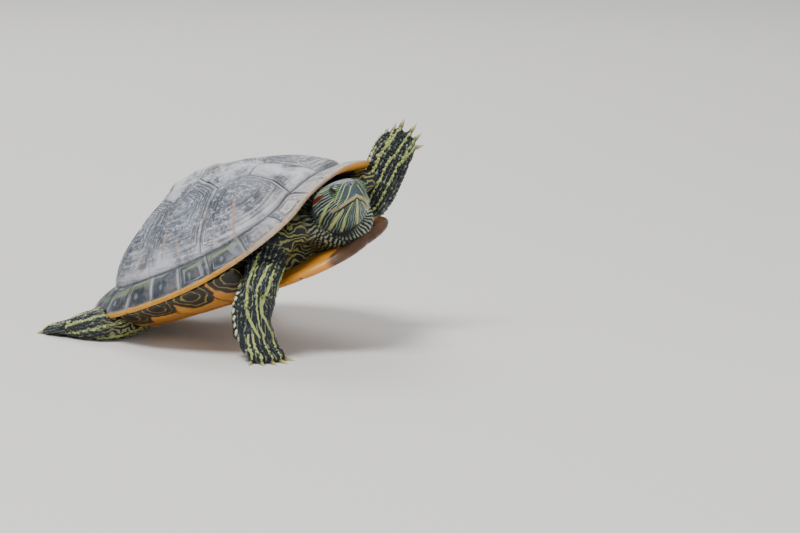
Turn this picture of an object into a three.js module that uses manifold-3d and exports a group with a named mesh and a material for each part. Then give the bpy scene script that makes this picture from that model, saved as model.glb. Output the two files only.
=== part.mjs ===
// A life-size red-eared slider turtle, climbing: the body is pitched nose up and leans on its right side,
// the right forefoot and both hind feet stand on the floor, and the left forefoot is raised.
//
// Units are millimetres. The finished group has +X along the turtle's heading, +Y to its left and +Z up,
// with the floor at z = 0. The shell is drawn in its own frame first: +x to the nose, +y to the left, +z up
// through the keel, with z = 0 at the level of the shell's side edge. SHELL_TO_FLOOR carries that frame to
// the floor, and the limbs use it too, so that a foot can be placed by its height above the floor.

import * as THREE from "three";
import { mergeVertices } from "three/addons/utils/BufferGeometryUtils.js";
import Module from "manifold-3d";

const wasm = await Module();
wasm.setup();

const { abs, cos, sin, sign, sqrt, max, min, exp, PI } = Math;
const rad = THREE.MathUtils.degToRad;

// ---------- driving dimensions ----------

const SHELL_LENGTH = 205.5; // straight carapace length
const SHELL_HALF_WIDTH = 85;
const OVAL_HALF_LENGTH = 110; // of the oval that the shell's edge follows, before its front is blunted
const FRONT_BLUNTING = 2 * OVAL_HALF_LENGTH - SHELL_LENGTH;
const FRONT_HALF_WIDTH = 38; // half width of that blunt front
const SHELL_HEIGHT = 51; // crown of the dome above its side edge
const PLASTRON_DEPTH = 22; // underside of the plastron below the side edge
const SHELL_THICKNESS = 3.6;
const FRONT_RISE = 20; // the front edge turns up
const REAR_WIDENING = 0.05;
const OUTLINE_POWER = 1.96;
const PITCH = 20.5; // degrees, nose up
const ROLL = 17.5; // degrees, right side down
const GAP = 0.32; // between neighbouring solids
const FLAT_DEPTH = 0.5; // how much the floor trims from whatever stands on it

// ---------- solids ----------

// A closed manifold-3d solid from a closed geometry. A surface drawn inside out is turned round.
function solidOf(geometry) {
  const bare = new THREE.BufferGeometry().setAttribute("position", geometry.getAttribute("position").clone());
  if (geometry.index) bare.setIndex(geometry.index.clone());
  const merged = mergeVertices(bare, 1e-4);
  const triVerts = new Uint32Array(merged.index.array);
  const vertProperties = new Float32Array(merged.attributes.position.array);
  const build = () => new wasm.Manifold(new wasm.Mesh({ numProp: 3, vertProperties, triVerts }));
  const made = build();
  if (made.volume() >= 0) return made;
  for (let i = 0; i < triVerts.length; i += 3) {
    [triVerts[i + 1], triVerts[i + 2]] = [triVerts[i + 2], triVerts[i + 1]];
  }
  return build();
}

function geometryOf(solid) {
  const mesh = solid.getMesh();
  const positions = new Float32Array(mesh.numVert * 3);
  for (let i = 0; i < mesh.numVert; i++) {
    positions.set(mesh.vertProperties.subarray(i * mesh.numProp, i * mesh.numProp + 3), i * 3);
  }
  return new THREE.BufferGeometry()
    .setAttribute("position", new THREE.BufferAttribute(positions, 3))
    .setIndex(new THREE.BufferAttribute(mesh.triVerts, 1));
}

// The largest closed body of a solid, so that a cut leaves no loose sliver.
function largest(solid) {
  return solid.decompose().reduce((best, body) => (body.volume() > best.volume() ? body : best));
}

// A closed surface through rings of points. Each ring is an array of Vector3 of one length, or one Vector3
// where the surface comes to a pole. A ring at either end is closed with a fan.
function ringSurface(rings) {
  const points = [];
  const faces = [];
  const add = (p) => points.push(p.x, p.y, p.z) / 3 - 1;
  const rows = rings.map((ring) => (Array.isArray(ring) ? ring.map(add) : [add(ring)]));
  const fan = (hub, row, turned) => {
    for (let i = 0; i < row.length; i++) {
      const next = row[(i + 1) % row.length];
      faces.push(...(turned ? [hub, next, row[i]] : [hub, row[i], next]));
    }
  };
  const middle = (row) => {
    const sum = new THREE.Vector3();
    for (const i of row) sum.add(new THREE.Vector3().fromArray(points, i * 3));
    return add(sum.divideScalar(row.length));
  };
  const last = rows.length - 1;
  if (rows[0].length > 1) fan(middle(rows[0]), rows[0], true);
  for (let r = 0; r < last; r++) {
    const [a, b] = [rows[r], rows[r + 1]];
    if (a.length === 1) fan(a[0], b, true);
    else if (b.length === 1) fan(b[0], a, false);
    else {
      for (let i = 0; i < a.length; i++) {
        const j = (i + 1) % a.length;
        faces.push(a[i], a[j], b[i], a[j], b[j], b[i]);
      }
    }
  }
  if (rows[last].length > 1) fan(middle(rows[last]), rows[last], false);
  return solidOf(
    new THREE.BufferGeometry()
      .setAttribute("position", new THREE.Float32BufferAttribute(points, 3))
      .setIndex(faces),
  );
}

function boxSolid(low, high) {
  const size = new THREE.Vector3().subVectors(high, low);
  const box = new THREE.BoxGeometry(size.x, size.y, size.z);
  box.translate(...new THREE.Vector3().addVectors(low, high).multiplyScalar(0.5).toArray());
  return solidOf(box);
}

// ---------- the shell's frame and the floor ----------

const SHELL_TURN = new THREE.Matrix4()
  .makeRotationY(rad(-PITCH))
  .multiply(new THREE.Matrix4().makeRotationX(rad(ROLL)));

// ---------- carapace ----------

const SIDE_SEGMENTS = 36;
const CROWN_POWER_OUT = 1.29; // a roof-like dome, flatter than an ellipse
const CROWN_POWER_UP = 1.45;
const KEEL_HEIGHT = 1.6;
const KEEL_WIDTH = 7;
// The edge plates' run from the rim to their inner seam: [inward, upward].
const MARGINAL = { side: [11.5, 13], front: [20, 2.5], rear: [28, 7] };
const UNDER_EDGE = 12; // width of the edge plates' underside

// The shell's edge in the direction of angle t from the nose.
function edgePoint(t) {
  const [c, s] = [cos(t), sin(t)];
  const power = 2 / OUTLINE_POWER;
  const x = OVAL_HALF_LENGTH * sign(c) * abs(c) ** power;
  const y = SHELL_HALF_WIDTH * sign(s) * abs(s) ** power * (1 - REAR_WIDENING * c);
  const cut = c > 0 ? FRONT_BLUNTING * exp(-((y / FRONT_HALF_WIDTH) ** 4)) : 0;
  return new THREE.Vector3(x - cut, y, FRONT_RISE * max(c, 0) ** 2.5);
}

// What holds at the sides, the front and the rear, blended by direction.
function byDirection(t, { side, front, rear }) {
  const c = cos(t);
  const [f, r] = [max(c, 0) ** 2, max(-c, 0) ** 2];
  return side.map((value, i) => value * (1 - c * c) + front[i] * f + rear[i] * r);
}

function movedInward(p, distance) {
  const reach = sqrt(p.x * p.x + p.y * p.y);
  return new THREE.Vector3(p.x * (1 - distance / reach), p.y * (1 - distance / reach), p.z);
}

// The seam between the edge plates and the dome.
function innerSeam(t) {
  const [inward, upward] = byDirection(t, MARGINAL);
  const p = movedInward(edgePoint(t), inward);
  p.z += upward;
  return p;
}

// The dome over that seam: climb runs from 0 at the seam to PI / 2 at the crown.
function domePoint(t, climb) {
  const seam = innerSeam(t);
  const out = cos(climb) ** CROWN_POWER_OUT;
  const up = sin(climb) ** CROWN_POWER_UP;
  const p = new THREE.Vector3(seam.x * out, seam.y * out, seam.z + (SHELL_HEIGHT - seam.z) * up);
  p.z += KEEL_HEIGHT * exp(-((p.y / KEEL_WIDTH) ** 2)) * up;
  return p;
}

// The dome moved in by a depth, straight down and towards the middle.
function domeInside(t, climb, depth) {
  const p = domePoint(t, climb);
  const slope = cos(climb);
  const moved = movedInward(p, min(depth * 1.1 * slope, 0.5 * sqrt(p.x * p.x + p.y * p.y)));
  moved.z -= depth * (0.55 + 0.45 * sin(climb));
  return moved;
}

const CLIMBS = [0, 0.16, 0.35, 0.58, 0.88, 1.23];
const around = (make, count = SIDE_SEGMENTS) =>
  Array.from({ length: count }, (_, i) => make((2 * PI * i) / count));

// The carapace. With grow it is thicker all over by that much, as a tool that leaves a gap.
function carapaceSolid(grow = 0) {
  const crown = domePoint(0, PI / 2);
  const rings = [new THREE.Vector3(0, 0, crown.z + grow)];
  for (const climb of [...CLIMBS].reverse()) rings.push(around((t) => domeInside(t, climb, -grow)));
  rings.push(
    around((t) => {
      const p = innerSeam(t).lerp(edgePoint(t), 0.55);
      p.z += 0.9 + grow;
      return p;
    }),
    around((t) => {
      const p = movedInward(edgePoint(t), -grow);
      p.z += 0.7;
      return p;
    }),
    around((t) => {
      const p = movedInward(edgePoint(t), 0.2 - grow);
      p.z -= 1.3;
      return p;
    }),
    around((t) => {
      const p = movedInward(edgePoint(t), UNDER_EDGE * 0.5);
      p.z -= 2.2 + grow;
      return p;
    }),
    around((t) => {
      const p = movedInward(edgePoint(t), UNDER_EDGE + grow);
      p.z -= 1.6 + grow;
      return p;
    }),
  );
  for (const climb of CLIMBS.slice(1)) rings.push(around((t) => domeInside(t, climb, SHELL_THICKNESS + grow)));
  rings.push(new THREE.Vector3(0, 0, crown.z - SHELL_THICKNESS - grow));
  return ringSurface(rings);
}

// ---------- plastron ----------

// Half outline of the belly plate, [x, half width], from the rear to the front.
const PLATE_OUTLINE = [
  [-96, 12], [-93, 24], [-85, 34], [-73, 40], [-60, 44], [-48, 47], [-30, 50], [0, 52], [30, 52], [50, 51],
  [62, 49.5], [74, 46.5], [83, 42], [90, 36], [95, 28], [97.5, 18],
];
const PLATE_THICKNESS = 5;
const PLATE_CORNER = 5; // power of the cross-section's superellipse

function along(table, x, column) {
  const at = table.findIndex((row) => row[0] >= x);
  if (at < 0) return table[table.length - 1][column];
  if (at === 0) return table[0][column];
  const [a, b] = [table[at - 1], table[at]];
  return a[column] + ((b[column] - a[column]) * (x - a[0])) / (b[0] - a[0]);
}

// Height of the plate's underside.
function plateBottom(x) {
  return -PLASTRON_DEPTH - 5.5 * max(0, (x + 20) / 115) + 2 * max(0, (-x - 60) / 36) ** 2;
}

function plateThickness(x) {
  return PLATE_THICKNESS + 2.2 * max(0, (x - 40) / 60);
}

const PLATE_SIDES = 10;

function plateSolid(grow = 0) {
  const rings = PLATE_OUTLINE.map(([x, width], index) => {
    const thick = plateThickness(x) / 2 + grow;
    const end = index === 0 ? -grow : index === PLATE_OUTLINE.length - 1 ? grow : 0;
    return Array.from({ length: PLATE_SIDES }, (_, i) => {
      const a = (2 * PI * i) / PLATE_SIDES;
      const power = 2 / PLATE_CORNER;
      const y = (width + grow) * sign(cos(a)) * abs(cos(a)) ** power;
      const z = thick * sign(sin(a)) * abs(sin(a)) ** power;
      return new THREE.Vector3(x + end, y, plateBottom(x) + plateThickness(x) / 2 + z);
    });
  });
  return ringSurface(rings);
}

// The bridge on one side (1 is left): a wall from the belly plate up to the underside of the edge plates.
const BRIDGE_STATIONS = [-50, -40, -25, 0, 25, 40, 50];
const BRIDGE_WALL = 4;

function bridgeSolid(side, grow = 0) {
  const rings = BRIDGE_STATIONS.map((x, index) => {
    const last = index === BRIDGE_STATIONS.length - 1;
    const end = index === 0 ? -grow : last ? grow : 0;
    const edge = edgePoint(Math.acos(x / OVAL_HALF_LENGTH));
    const top = new THREE.Vector2(abs(edge.y) - UNDER_EDGE * 0.55, edge.z - 1.2);
    const foot = new THREE.Vector2(along(PLATE_OUTLINE, x, 1) - 3, plateBottom(x) + 1);
    const half = BRIDGE_WALL / 2 + grow;
    const out = new THREE.Vector2(top.y - foot.y, -(top.x - foot.x)).normalize().multiplyScalar(half);
    const bulge = new THREE.Vector2(1.8, -1.8);
    const mid = top.clone().lerp(foot, 0.5).add(bulge);
    const outline = [
      top.clone().add(out), mid.clone().add(out), foot.clone().add(out),
      foot.clone().sub(out), mid.clone().sub(out), top.clone().sub(out),
    ];
    return outline.map((q) => new THREE.Vector3(x + end, side * q.x, q.y));
  });
  return ringSurface(rings);
}

// ---------- flesh: lofted limbs ----------

// A limb is a list of stations { at, w, h, wide }: centre, half width, half thickness, and the direction of the
// width. The sections between them follow a smooth curve. grow makes it fatter, as a tool that leaves a gap.
const LIMB_SIDES = 11;
const NECK_SIDES = 13;
const PALM_SIDES = 8;
const TOE_SIDES = 5;
const CLAW_SIDES = 5;
const WEB_THICKNESS = 1.4;

function limbSolid(stations, { steps = 3, grow = 0, from = 0, to = 1, sides = LIMB_SIDES } = {}) {
  const path = new THREE.CatmullRomCurve3(stations.map((s) => s.at), false, "centripetal");
  const spans = stations.length - 1;
  const count = max(2, Math.round(spans * steps * (to - from)));
  const mixed = (u, key) => {
    const at = min(u * spans, spans - 1e-6);
    const [i, f] = [Math.floor(at), at - Math.floor(at)];
    const ease = f * f * (3 - 2 * f);
    const [a, b] = [stations[i][key], stations[i + 1][key]];
    return typeof a === "number" ? a + (b - a) * ease : a.clone().lerp(b, ease);
  };
  const rings = [];
  for (let k = 0; k <= count; k++) {
    const u = from + ((to - from) * k) / count;
    const centre = path.getPoint(u);
    const forward = path.getTangent(u);
    const wide = mixed(u, "wide");
    wide.addScaledVector(forward, -wide.dot(forward)).normalize();
    const thick = new THREE.Vector3().crossVectors(forward, wide);
    const [w, h] = [mixed(u, "w") + grow, mixed(u, "h") + grow];
    const end = k === 0 ? -grow : k === count ? grow : 0;
    rings.push(
      Array.from({ length: sides }, (_, i) => {
        const a = (2 * PI * i) / sides;
        return centre.clone()
          .addScaledVector(forward, end)
          .addScaledVector(wide, w * cos(a))
          .addScaledVector(thick, h * sin(a));
      }),
    );
  }
  return ringSurface(rings);
}

// ---------- places on the body ----------

const V = (x = 0, y = 0, z = 0) => new THREE.Vector3(x, y, z);
const turned = (solid) => solidOf(geometryOf(solid).applyMatrix4(SHELL_TURN));
const lowestOf = (solid) => solid.boundingBox().min[2];
const FLOOR = lowestOf(turned(plateSolid())) + FLAT_DEPTH; // the belly plate stands on the floor
const TURN_BACK = SHELL_TURN.clone().invert();

// A point given upright, as the turtle stands: x and y from the shell's middle, and height above the floor.
// It comes back in the shell's frame.
const standing = (x, y, height) => V(x, y, FLOOR + height).applyMatrix4(TURN_BACK);
const station = (at, w, h, wide) => ({ at, w, h, wide: wide.clone().normalize() });

// The frame of a foot that stands: its middle, the way its toes point, and how far they slope down, in degrees.
function standingFrame(x, y, height, heading, slope) {
  const turn = new THREE.Matrix4().makeRotationFromEuler(new THREE.Euler(0, rad(slope), rad(heading), "ZYX"));
  return TURN_BACK.clone().multiply(new THREE.Matrix4().makeTranslation(x, y, FLOOR + height)).multiply(turn);
}

// The raised forefoot's frame: its toes' direction, the side of digit 1, and its back.
const RAISED_FOREFOOT = new THREE.Matrix4()
  .makeBasis(V(0.725, 0.47, 0.503), V(-0.46, -0.208, 0.863), V(0.511, -0.857, 0.066))
  .setPosition(97.5, 64.8, 11);

// The head's frame is +x to the beak, +y left, +z up, from the back of the skull at mouth level.
const HEAD_LENGTH = 46;
const HEAD_FRAME = new THREE.Matrix4()
  .makeTranslation(86.3, -2.3, 0.4)
  .multiply(new THREE.Matrix4().makeRotationFromEuler(new THREE.Euler(rad(-20), rad(-8.9), rad(-28), "ZYX")));
const headed = (solid) => solidOf(geometryOf(solid).applyMatrix4(HEAD_FRAME));
// [from the back of the skull, half width, top, bottom]
const HEAD_SECTIONS = [
  [-5, 11.5, 7, -9.5], [0, 13.4, 9.8, -12], [6, 15.6, 12, -13.8], [13, 17, 13.2, -14], [20, 16.2, 13.6, -13],
  [27, 13.8, 13.4, -11.4], [33, 11.3, 12.8, -9.6], [38, 8.9, 11.8, -7.8], [42, 6.8, 10.4, -6.2],
  [45, 4.4, 8.6, -4.6], [HEAD_LENGTH, 2.4, 6.8, -3],
];
const HEAD_SIDES = 14;
const MOUTH = { corner: 24, droop: 3.4 }; // the mouth line falls from the beak's tip to the jaw's corner
const EYE = { at: V(34, 7.6, 6.6), radius: 3.8, lidRadius: 4.7, lidInset: 0.8 };

const NECK = [
  station(V(40, 4, -9), 15, 13, V(0, 1, 0)),
  station(V(58, 5, -9), 18, 15.5, V(0, 1, 0)),
  station(V(74, 3.5, -8), 20, 17, V(0.1, 1, 0)),
  station(V(87, 0.5, -6.5), 19.5, 17.5, V(0.35, 1, -0.1)),
  station(V(94.5, -3, -5), 16.8, 15.5, V(0.4, 1, -0.2)),
];

// The short tail is folded to the left under the shell's rear edge.
const TAIL = [
  station(V(-82, 0, -13), 8, 5.5, V(0, 1, 0)),
  station(V(-95, 4, -13), 6.5, 4.6, V(0.5, 1, 0)),
  station(V(-100, 15, -13), 5, 4, V(1, 0.2, 0)),
  station(V(-97, 27, -12.5), 3.4, 2.8, V(1, 0, 0)),
  station(V(-91, 37, -12), 1, 0.9, V(1, 0, 0)),
];

// Legs: the path of stations from shoulder or hip to wrist or ankle, the joint as a share of the path, the
// foot. A foot's palm is [forward, across, up, half width, half thickness]; fan and reach hold, for digits 1
// to 5, the angle to digit 1's side and the distance from the foot's middle to the end.
const LEGS = {
  right: {
    fore: {
      joint: 0.52,
      path: [
        station(V(46, -28, -6), 11, 10, V(1, 0.3, 0)),
        station(V(58, -50, -9.5), 12.5, 9.5, V(1, 0.3, 0)),
        station(V(59.5, -63.5, -17), 12.5, 9.5, V(1, 0.25, 0.25)),
        station(standing(63.5, -56, 33), 12.5, 8.5, V(1, 0.3, 0.1)),
        station(standing(62.5, -57, 21), 12.5, 7, V(1, 0.3, 0)),
        station(standing(64, -57.5, 14), 12.5, 6, V(1, 0.3, 0)),
      ],
      foot: {
        frame: standingFrame(70, -58, 6.5, -22, 14), stands: true,
        palm: [[-6, 0, 12, 11.5, 6], [-4, 0, 4.5, 12.5, 6], [1, 0, 0.5, 13, 4.8], [7, 0, -0.5, 12, 3.2]],
        fan: [58, 29, 3, -22, -50], reach: [22, 22, 22, 22, 20], toe: 3, claw: 7.5, clawed: 5, web: 0.5,
      },
    },
    hind: {
      joint: 0.5,
      path: [
        station(V(-52, -26, -11), 12, 9.5, V(1, 0, 0.3)),
        station(V(-57, -46, -12), 13.5, 9.5, V(1, -0.1, 0.3)),
        station(standing(-47, -61, 11), 12.5, 10.5, V(1, -0.3, 0)),
        station(standing(-54, -67.5, 10), 11, 9.5, V(0.6, -1, 0)),
        station(standing(-67, -69, 7.8), 9, 7.2, V(0, -1, 0)),
        station(standing(-73, -69, 6.4), 8.5, 5.8, V(0, -1, 0)),
      ],
      foot: {
        frame: standingFrame(-80, -69, 4.6, 182, 6), stands: true,
        palm: [[-11, 0, 2.4, 8, 5.4], [-6, 0, 1.3, 8.8, 5], [0, 0, 0.3, 10.5, 4.2], [9, 0, -0.3, 10, 2.8]],
        fan: [-34, -17, 0, 17, 34], reach: [20, 23, 24, 22, 14], toe: 2.6, claw: 6.5, clawed: 4, web: 0.86,
      },
    },
  },
  left: {
    fore: {
      joint: 0.42,
      path: [
        station(V(48, 32, -8), 11, 10, V(0, 0, 1)),
        station(V(59, 43, -12), 12, 9.5, V(-0.2, 0, 1)),
        station(V(69, 50.5, -12), 12.5, 9, V(-0.6, -0.2, 1)),
        station(V(79, 56, -5), 12.5, 8.2, V(-0.6, -0.2, 0.9)),
        station(V(87, 60, 2.5), 12.5, 7, V(-0.5, -0.2, 0.86)),
        station(V(91.5, 62, 6.5), 12.5, 6, V(-0.46, -0.2, 0.86)),
      ],
      foot: {
        frame: RAISED_FOREFOOT,
        palm: [[-11, 0, 0, 12, 5.4], [-6, 0, 0, 12.5, 5], [0, 0, 0, 13, 4.6], [6, 0, 0, 12, 3]],
        fan: [58, 34, 9, -22, -50], reach: [18, 19, 20, 19.5, 16.5], toe: 3, claw: 7.5, clawed: 5, web: 0.5,
      },
    },
    hind: {
      joint: 0.5,
      path: [
        station(V(-52, 26, -10), 12, 9.5, V(1, 0, 0.3)),
        station(V(-62, 46, -13), 13, 9.5, V(1, 0, 0.3)),
        station(V(-62, 60, -20), 12.5, 9.5, V(1, 0, 0)),
        station(standing(-48, 70, 22), 10.5, 8.5, V(1, -0.2, 0)),
        station(standing(-52, 75, 11), 8.5, 7, V(1, -0.2, 0)),
        station(standing(-53, 76.5, 7), 8.5, 6, V(1, -0.2, 0)),
      ],
      foot: {
        frame: standingFrame(-56, 80, 4.5, 140, 6), stands: true,
        palm: [[-11, 0, 2.4, 8, 5.4], [-6, 0, 1.3, 8.8, 5], [0, 0, 0.3, 10.5, 4.2], [9, 0, -0.3, 10, 2.8]],
        fan: [34, 17, 0, -18, -38], reach: [21, 25, 26, 24, 15], toe: 2.6, claw: 6.5, clawed: 4, web: 0.86,
      },
    },
  },
};

// ---------- the rest of the body's solids ----------

const TRUNK_SLACK = 1.3; // room under the dome
const TRUNK_SEGMENTS = 16;

// The body between carapace and plastron, before the sockets of neck and legs are cut.
function trunkSolid() {
  const depth = SHELL_THICKNESS + TRUNK_SLACK;
  const ring = (run, level) =>
    around((t) => {
      const p = movedInward(edgePoint(t), byDirection(t, run)[0]);
      p.z = level(p);
      return p;
    }, TRUNK_SEGMENTS);
  const top = domePoint(0, PI / 2).z - depth;
  const belly = (p) => plateBottom(p.x) + plateThickness(p.x) + GAP;
  return ringSurface([
    V(0, 0, top),
    ...[1.15, 0.85, 0.55, 0.3].map((climb) => around((t) => domeInside(t, climb, depth), TRUNK_SEGMENTS)),
    ring({ side: [15], front: [24], rear: [24] }, (p) => p.z - 2.6),
    ring({ side: [24], front: [25], rear: [25] }, (p) => p.z - 9),
    ring({ side: [36], front: [30], rear: [30] }, belly),
    V(0, 0, -PLASTRON_DEPTH + PLATE_THICKNESS + GAP),
  ]);
}

function headSolid(grow = 0) {
  const power = 0.9;
  return ringSurface(
    HEAD_SECTIONS.map(([x, half, top, bottom], row) =>
      Array.from({ length: HEAD_SIDES }, (_, i) => {
        const a = (2 * PI * i) / HEAD_SIDES;
        const z = (sin(a) > 0 ? top + grow : grow - bottom) * sign(sin(a)) * abs(sin(a)) ** power;
        return V(row ? x : x - grow, (half + grow) * sign(cos(a)) * abs(cos(a)) ** power, z);
      }),
    ),
  );
}

// Everything below the mouth line and ahead of its corner, which takes the lower jaw out of the head.
function jawBlock(shift) {
  const block = geometryOf(boxSolid(V(-shift, -30, -30), V(40, 30, shift)));
  const slope = Math.atan2(MOUTH.droop, HEAD_LENGTH - MOUTH.corner);
  block.applyMatrix4(new THREE.Matrix4().makeRotationY(-slope)).translate(MOUTH.corner, 0, -MOUTH.droop);
  return solidOf(block);
}

const ball = (at, radius, across = 9, down = 6) =>
  solidOf(new THREE.SphereGeometry(radius, across, down).rotateX(PI / 2).translate(at.x, at.y, at.z));

// A claw: a curved horn cone of that length from a toe's end, leaving along dir and bending towards down.
function clawSolid(at, dir, down, length, radius, bend, grow = 0) {
  const wide = V().crossVectors(dir, down).normalize();
  const widths = [1, 0.86, 0.56, 0.14];
  return limbSolid(
    widths.map((share, i) => {
      const f = i / (widths.length - 1);
      const centre = at.clone().addScaledVector(dir, length * f).addScaledVector(down, length * bend * f * f);
      return station(centre, radius * share, radius * share * 0.9, wide);
    }),
    { steps: 1, sides: CLAW_SIDES, grow },
  );
}

// A foot in its frame: palm, toes and the webs between them as one solid, and a claw for each clawed toe.
// side is 1 where digit 1 is towards the frame's +y.
function footParts({ frame, side, palm, fan, reach, toe, claw, clawed, web, stands }) {
  const place = (x, y, z) => V(x, side * y, z).applyMatrix4(frame);
  const way = (x, y, z) => V(x, side * y, z).transformDirection(frame);
  const settled = (p) => {
    if (!stands) return p;
    const upright = p.clone().applyMatrix4(SHELL_TURN);
    upright.z = FLOOR + toe * 0.54;
    return upright.applyMatrix4(TURN_BACK);
  };
  // A claw of a standing foot runs nearly level.
  const clawWay = (dir) => {
    if (!stands) return dir;
    const upright = dir.clone().transformDirection(SHELL_TURN);
    upright.z = -0.1;
    return upright.transformDirection(TURN_BACK);
  };
  const across = way(0, 1, 0);
  const front = palm[palm.length - 1];
  const down = way(0, 0, -1);
  const palmStations = palm.map(([x, y, z, w, h]) => station(place(x, y, z), w, h, across));
  let foot = limbSolid(palmStations, { steps: 1, sides: PALM_SIDES });
  const toes = fan.map((angle, i) => {
    const [c, s] = [cos(rad(angle)), sin(rad(angle))];
    const length = reach[i] - (i < clawed ? claw : 0);
    const root = place(front[0] * 0.55, 0.62 * front[3] * sin(rad(angle) * 1.15), 0);
    const end = settled(place(length * c, length * s, 0));
    return { root, end, dir: end.clone().sub(root).normalize() };
  });
  for (const { root, end } of toes) {
    const middle = root.clone().lerp(end, 0.5).addScaledVector(down, -toe * 0.25);
    const stations = [
      station(root, toe * 1.15, toe, across),
      station(middle, toe * 1.12, toe, across),
      station(end, toe * 0.86, toe * 0.82, across),
    ];
    foot = foot.add(limbSolid(stations, { steps: 1, sides: TOE_SIDES }));
  }
  for (let i = 0; i + 1 < toes.length; i++) {
    const [a, b] = [toes[i], toes[i + 1]];
    const corners = [a.root, a.root.clone().lerp(a.end, web), b.root.clone().lerp(b.end, web), b.root];
    const layer = (lift) => corners.map((p) => p.clone().addScaledVector(down, lift));
    foot = foot.add(ringSurface([layer(-WEB_THICKNESS / 2), layer(WEB_THICKNESS / 2)]));
  }
  const bend = stands ? 0.08 : 0.25;
  const claws = toes.slice(0, clawed).map(({ end, dir }) => {
    const shape = [end.clone().addScaledVector(dir, GAP), clawWay(dir), down, claw - GAP, toe * 0.66, bend];
    foot = foot.subtract(clawSolid(...shape, GAP * 0.95));
    return clawSolid(...shape);
  });
  return { foot, claws };
}

// ---------- assembly ----------

const carapace = carapaceSolid();
const carapaceTool = carapaceSolid(GAP);
const plastronPieces = (grow) => plateSolid(grow).add(bridgeSolid(1, grow)).add(bridgeSolid(-1, grow));
const plastron = plastronPieces(0).subtract(carapaceTool);
const plastronTool = plastronPieces(GAP);
const clearOfShell = (solid) => solid.subtract(carapaceTool).subtract(plastronTool);
const floorBlock = boxSolid(V(-300, -300, FLOOR - 80), V(300, 300, FLOOR));

const root = new THREE.Group();
const finish = (color, roughness) => new THREE.MeshStandardMaterial({ color, roughness, metalness: 0 });
const materials = {
  carapace: finish(0x6f6f6c, 0.55),
  plastron: finish(0xc08a2e, 0.5),
  skin: finish(0x3c4433, 0.6),
  claw: finish(0xb9a869, 0.45),
  eye: finish(0x1a1f12, 0.15),
};

// Stands a solid of the shell's frame upright, trims it at the floor and adds it under that name.
function add(name, solid, look) {
  const upright = largest(turned(solid).subtract(floorBlock));
  const mesh = new THREE.Mesh(geometryOf(upright), materials[look]);
  mesh.name = name;
  root.add(mesh);
}

add("carapace", carapace, "carapace");
add("plastron", plastron, "plastron");

const headWhole = headSolid();
const headTool = headed(headSolid(GAP));
const eyes = [-1, 1].map((side) => ({ side, at: V(EYE.at.x, side * EYE.at.y, EYE.at.z) }));
let head = headWhole;
for (const { side, at } of eyes) {
  const lids = ball(V(at.x, at.y - side * EYE.lidInset, at.z), EYE.lidRadius);
  head = head.add(lids).subtract(ball(at, EYE.radius + GAP));
}
add("head", largest(clearOfShell(headed(head.subtract(jawBlock(GAP))))), "skin");
add("lower_jaw", headed(largest(headWhole.intersect(jawBlock(0)))), "skin");
for (const { side, at } of eyes) add(side > 0 ? "eye_left" : "eye_right", headed(ball(at, EYE.radius)), "eye");

const neckSolid = (grow) => limbSolid(NECK, { sides: NECK_SIDES, steps: 2, grow });
add("neck", largest(clearOfShell(neckSolid(0).subtract(headTool))), "skin");

const NODE_NAMES = { fore: ["foreleg_upper", "foreleg_lower", "forefoot"], hind: ["thigh", "shank", "hindfoot"] };
let trunk = clearOfShell(trunkSolid()).subtract(neckSolid(GAP)).subtract(headTool);
for (const [side, pair] of Object.entries(LEGS)) {
  for (const [end, { joint, path, foot }] of Object.entries(pair)) {
    const [upperName, lowerName, footName] = NODE_NAMES[end];
    const upper = limbSolid(path, { to: joint, steps: 2 });
    const upperTool = limbSolid(path, { to: joint, steps: 2, grow: GAP });
    const lower = limbSolid(path, { from: joint, steps: 2 }).subtract(upperTool);
    const lowerTool = limbSolid(path, { from: joint, steps: 2, grow: GAP });
    trunk = trunk.subtract(upperTool).subtract(lowerTool);
    add(`${upperName}_${side}`, largest(clearOfShell(upper)), "skin");
    add(`${lowerName}_${side}`, largest(clearOfShell(lower)), "skin");
    const made = footParts({ side: side === "right" ? 1 : -1, ...foot });
    add(`${footName}_${side}`, largest(made.foot.subtract(lowerTool)), "skin");
    made.claws.forEach((claw, i) => add(`claw_${end}_${side}_${i + 1}`, claw, "claw"));
  }
}
trunk = trunk.subtract(limbSolid(TAIL, { sides: 8, steps: 2, grow: GAP }));
add("trunk", largest(trunk), "skin");

add("tail", largest(clearOfShell(limbSolid(TAIL, { sides: 8, steps: 2 }))), "skin");

// The origin is on the floor, under the middle of the whole.
const middle = new THREE.Box3().setFromObject(root).getCenter(V());
root.position.set(-middle.x, -middle.y, -FLOOR);

export default root;
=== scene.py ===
# %% [markdown]
# # A climbing red-eared slider
# A slider turtle is a box of horn and bone with soft limbs folded into it. The box has two halves, the domed
# carapace and the flat plastron, and each is covered with horn plates that grow a new ring every season.
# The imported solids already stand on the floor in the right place, so this lesson only dresses them: plates
# with real seams and rings, one unbroken skin, claws, eyes and scales, and a plain studio round it all.

# %% The frame, and how big it is
import functools
import math

import bmesh
import bpy
import numpy as np
from mathutils import Matrix, Vector
from mathutils.kdtree import KDTree


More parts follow.
